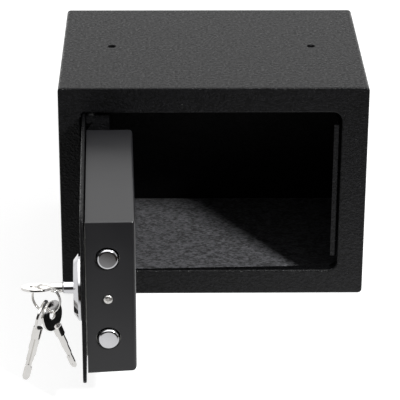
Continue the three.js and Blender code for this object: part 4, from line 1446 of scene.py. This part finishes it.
    def camera(self, scene, studio):
        data = bpy.data.cameras.new("photo_camera")
        data.lens, data.sensor_width = studio.lens, 36
        data.clip_start, data.clip_end = 0.05, 50
        pitch, yaw, roll = studio.pitch, studio.yaw, studio.roll
        reach, drop = math.cos(pitch), math.sin(pitch)
        ahead = Vector((math.sin(yaw) * reach, math.cos(yaw) * reach, -drop))
        right = Vector((math.cos(yaw), -math.sin(yaw), 0))
        over = right.cross(ahead)
        tilted = math.cos(roll) * right + math.sin(roll) * over
        above = -math.sin(roll) * right + math.cos(roll) * over
        matrix = Matrix((tilted, above, -ahead)).transposed().to_4x4()
        matrix.translation = Vector(studio.camera_at)
        camera = bpy.data.objects.new("photo_camera", data)
        camera.matrix_world = matrix
        scene.collection.objects.link(camera)
        scene.camera = camera


OPERATORS = (
    SAFE_OT_stage,
    SAFE_OT_cabinet_shell,
    SAFE_OT_back_panel,
    SAFE_OT_floor_mat,
    SAFE_OT_bolt_keeper,
    SAFE_OT_door_plate,
    SAFE_OT_hinge_lugs,
    SAFE_OT_door_cover,
    SAFE_OT_bolts,
    SAFE_OT_cover_screws,
    SAFE_OT_lock,
    SAFE_OT_keys,
    SAFE_OT_split_ring,
    SAFE_OT_inner_works,
)


class SAFE_PT_panel(Panel):
    """Lists the pieces of the safe and their sizes"""

    bl_idname = "SAFE_PT_panel"
    bl_label = "Home Safe"
    bl_space_type = "VIEW_3D"
    bl_region_type = "UI"
    bl_category = "Home Safe"

    def draw(self, context):
        for operator in OPERATORS:
            self.layout.operator(operator.bl_idname)
        for name in GROUPS:
            group = getattr(context.scene, name)
            part = self.layout.box()
            part.label(text=type(group).__doc__)
            for key in type(group).__annotations__:
                part.prop(group, key)


GROUPS = {
    "safe_cabinet": CabinetSizes,
    "safe_door": DoorSizes,
    "safe_lock": LockSizes,
    "safe_key": KeySizes,
    "safe_finishes": Finishes,
    "safe_studio": StudioSettings,
}


def register():
    for name, group in GROUPS.items():
        bpy.utils.register_class(group)
        setattr(bpy.types.Scene, name, PointerProperty(type=group))
    for kind in (*OPERATORS, SAFE_PT_panel):
        bpy.utils.register_class(kind)


def unregister():
    for kind in reversed((*OPERATORS, SAFE_PT_panel)):
        bpy.utils.unregister_class(kind)
    for name, group in GROUPS.items():
        delattr(bpy.types.Scene, name)
        bpy.utils.unregister_class(group)


def main():
    register()
    for operator in OPERATORS:
        area, name = operator.bl_idname.split(".")
        getattr(getattr(bpy.ops, area), name)()


if __name__ == "__main__":
    main()
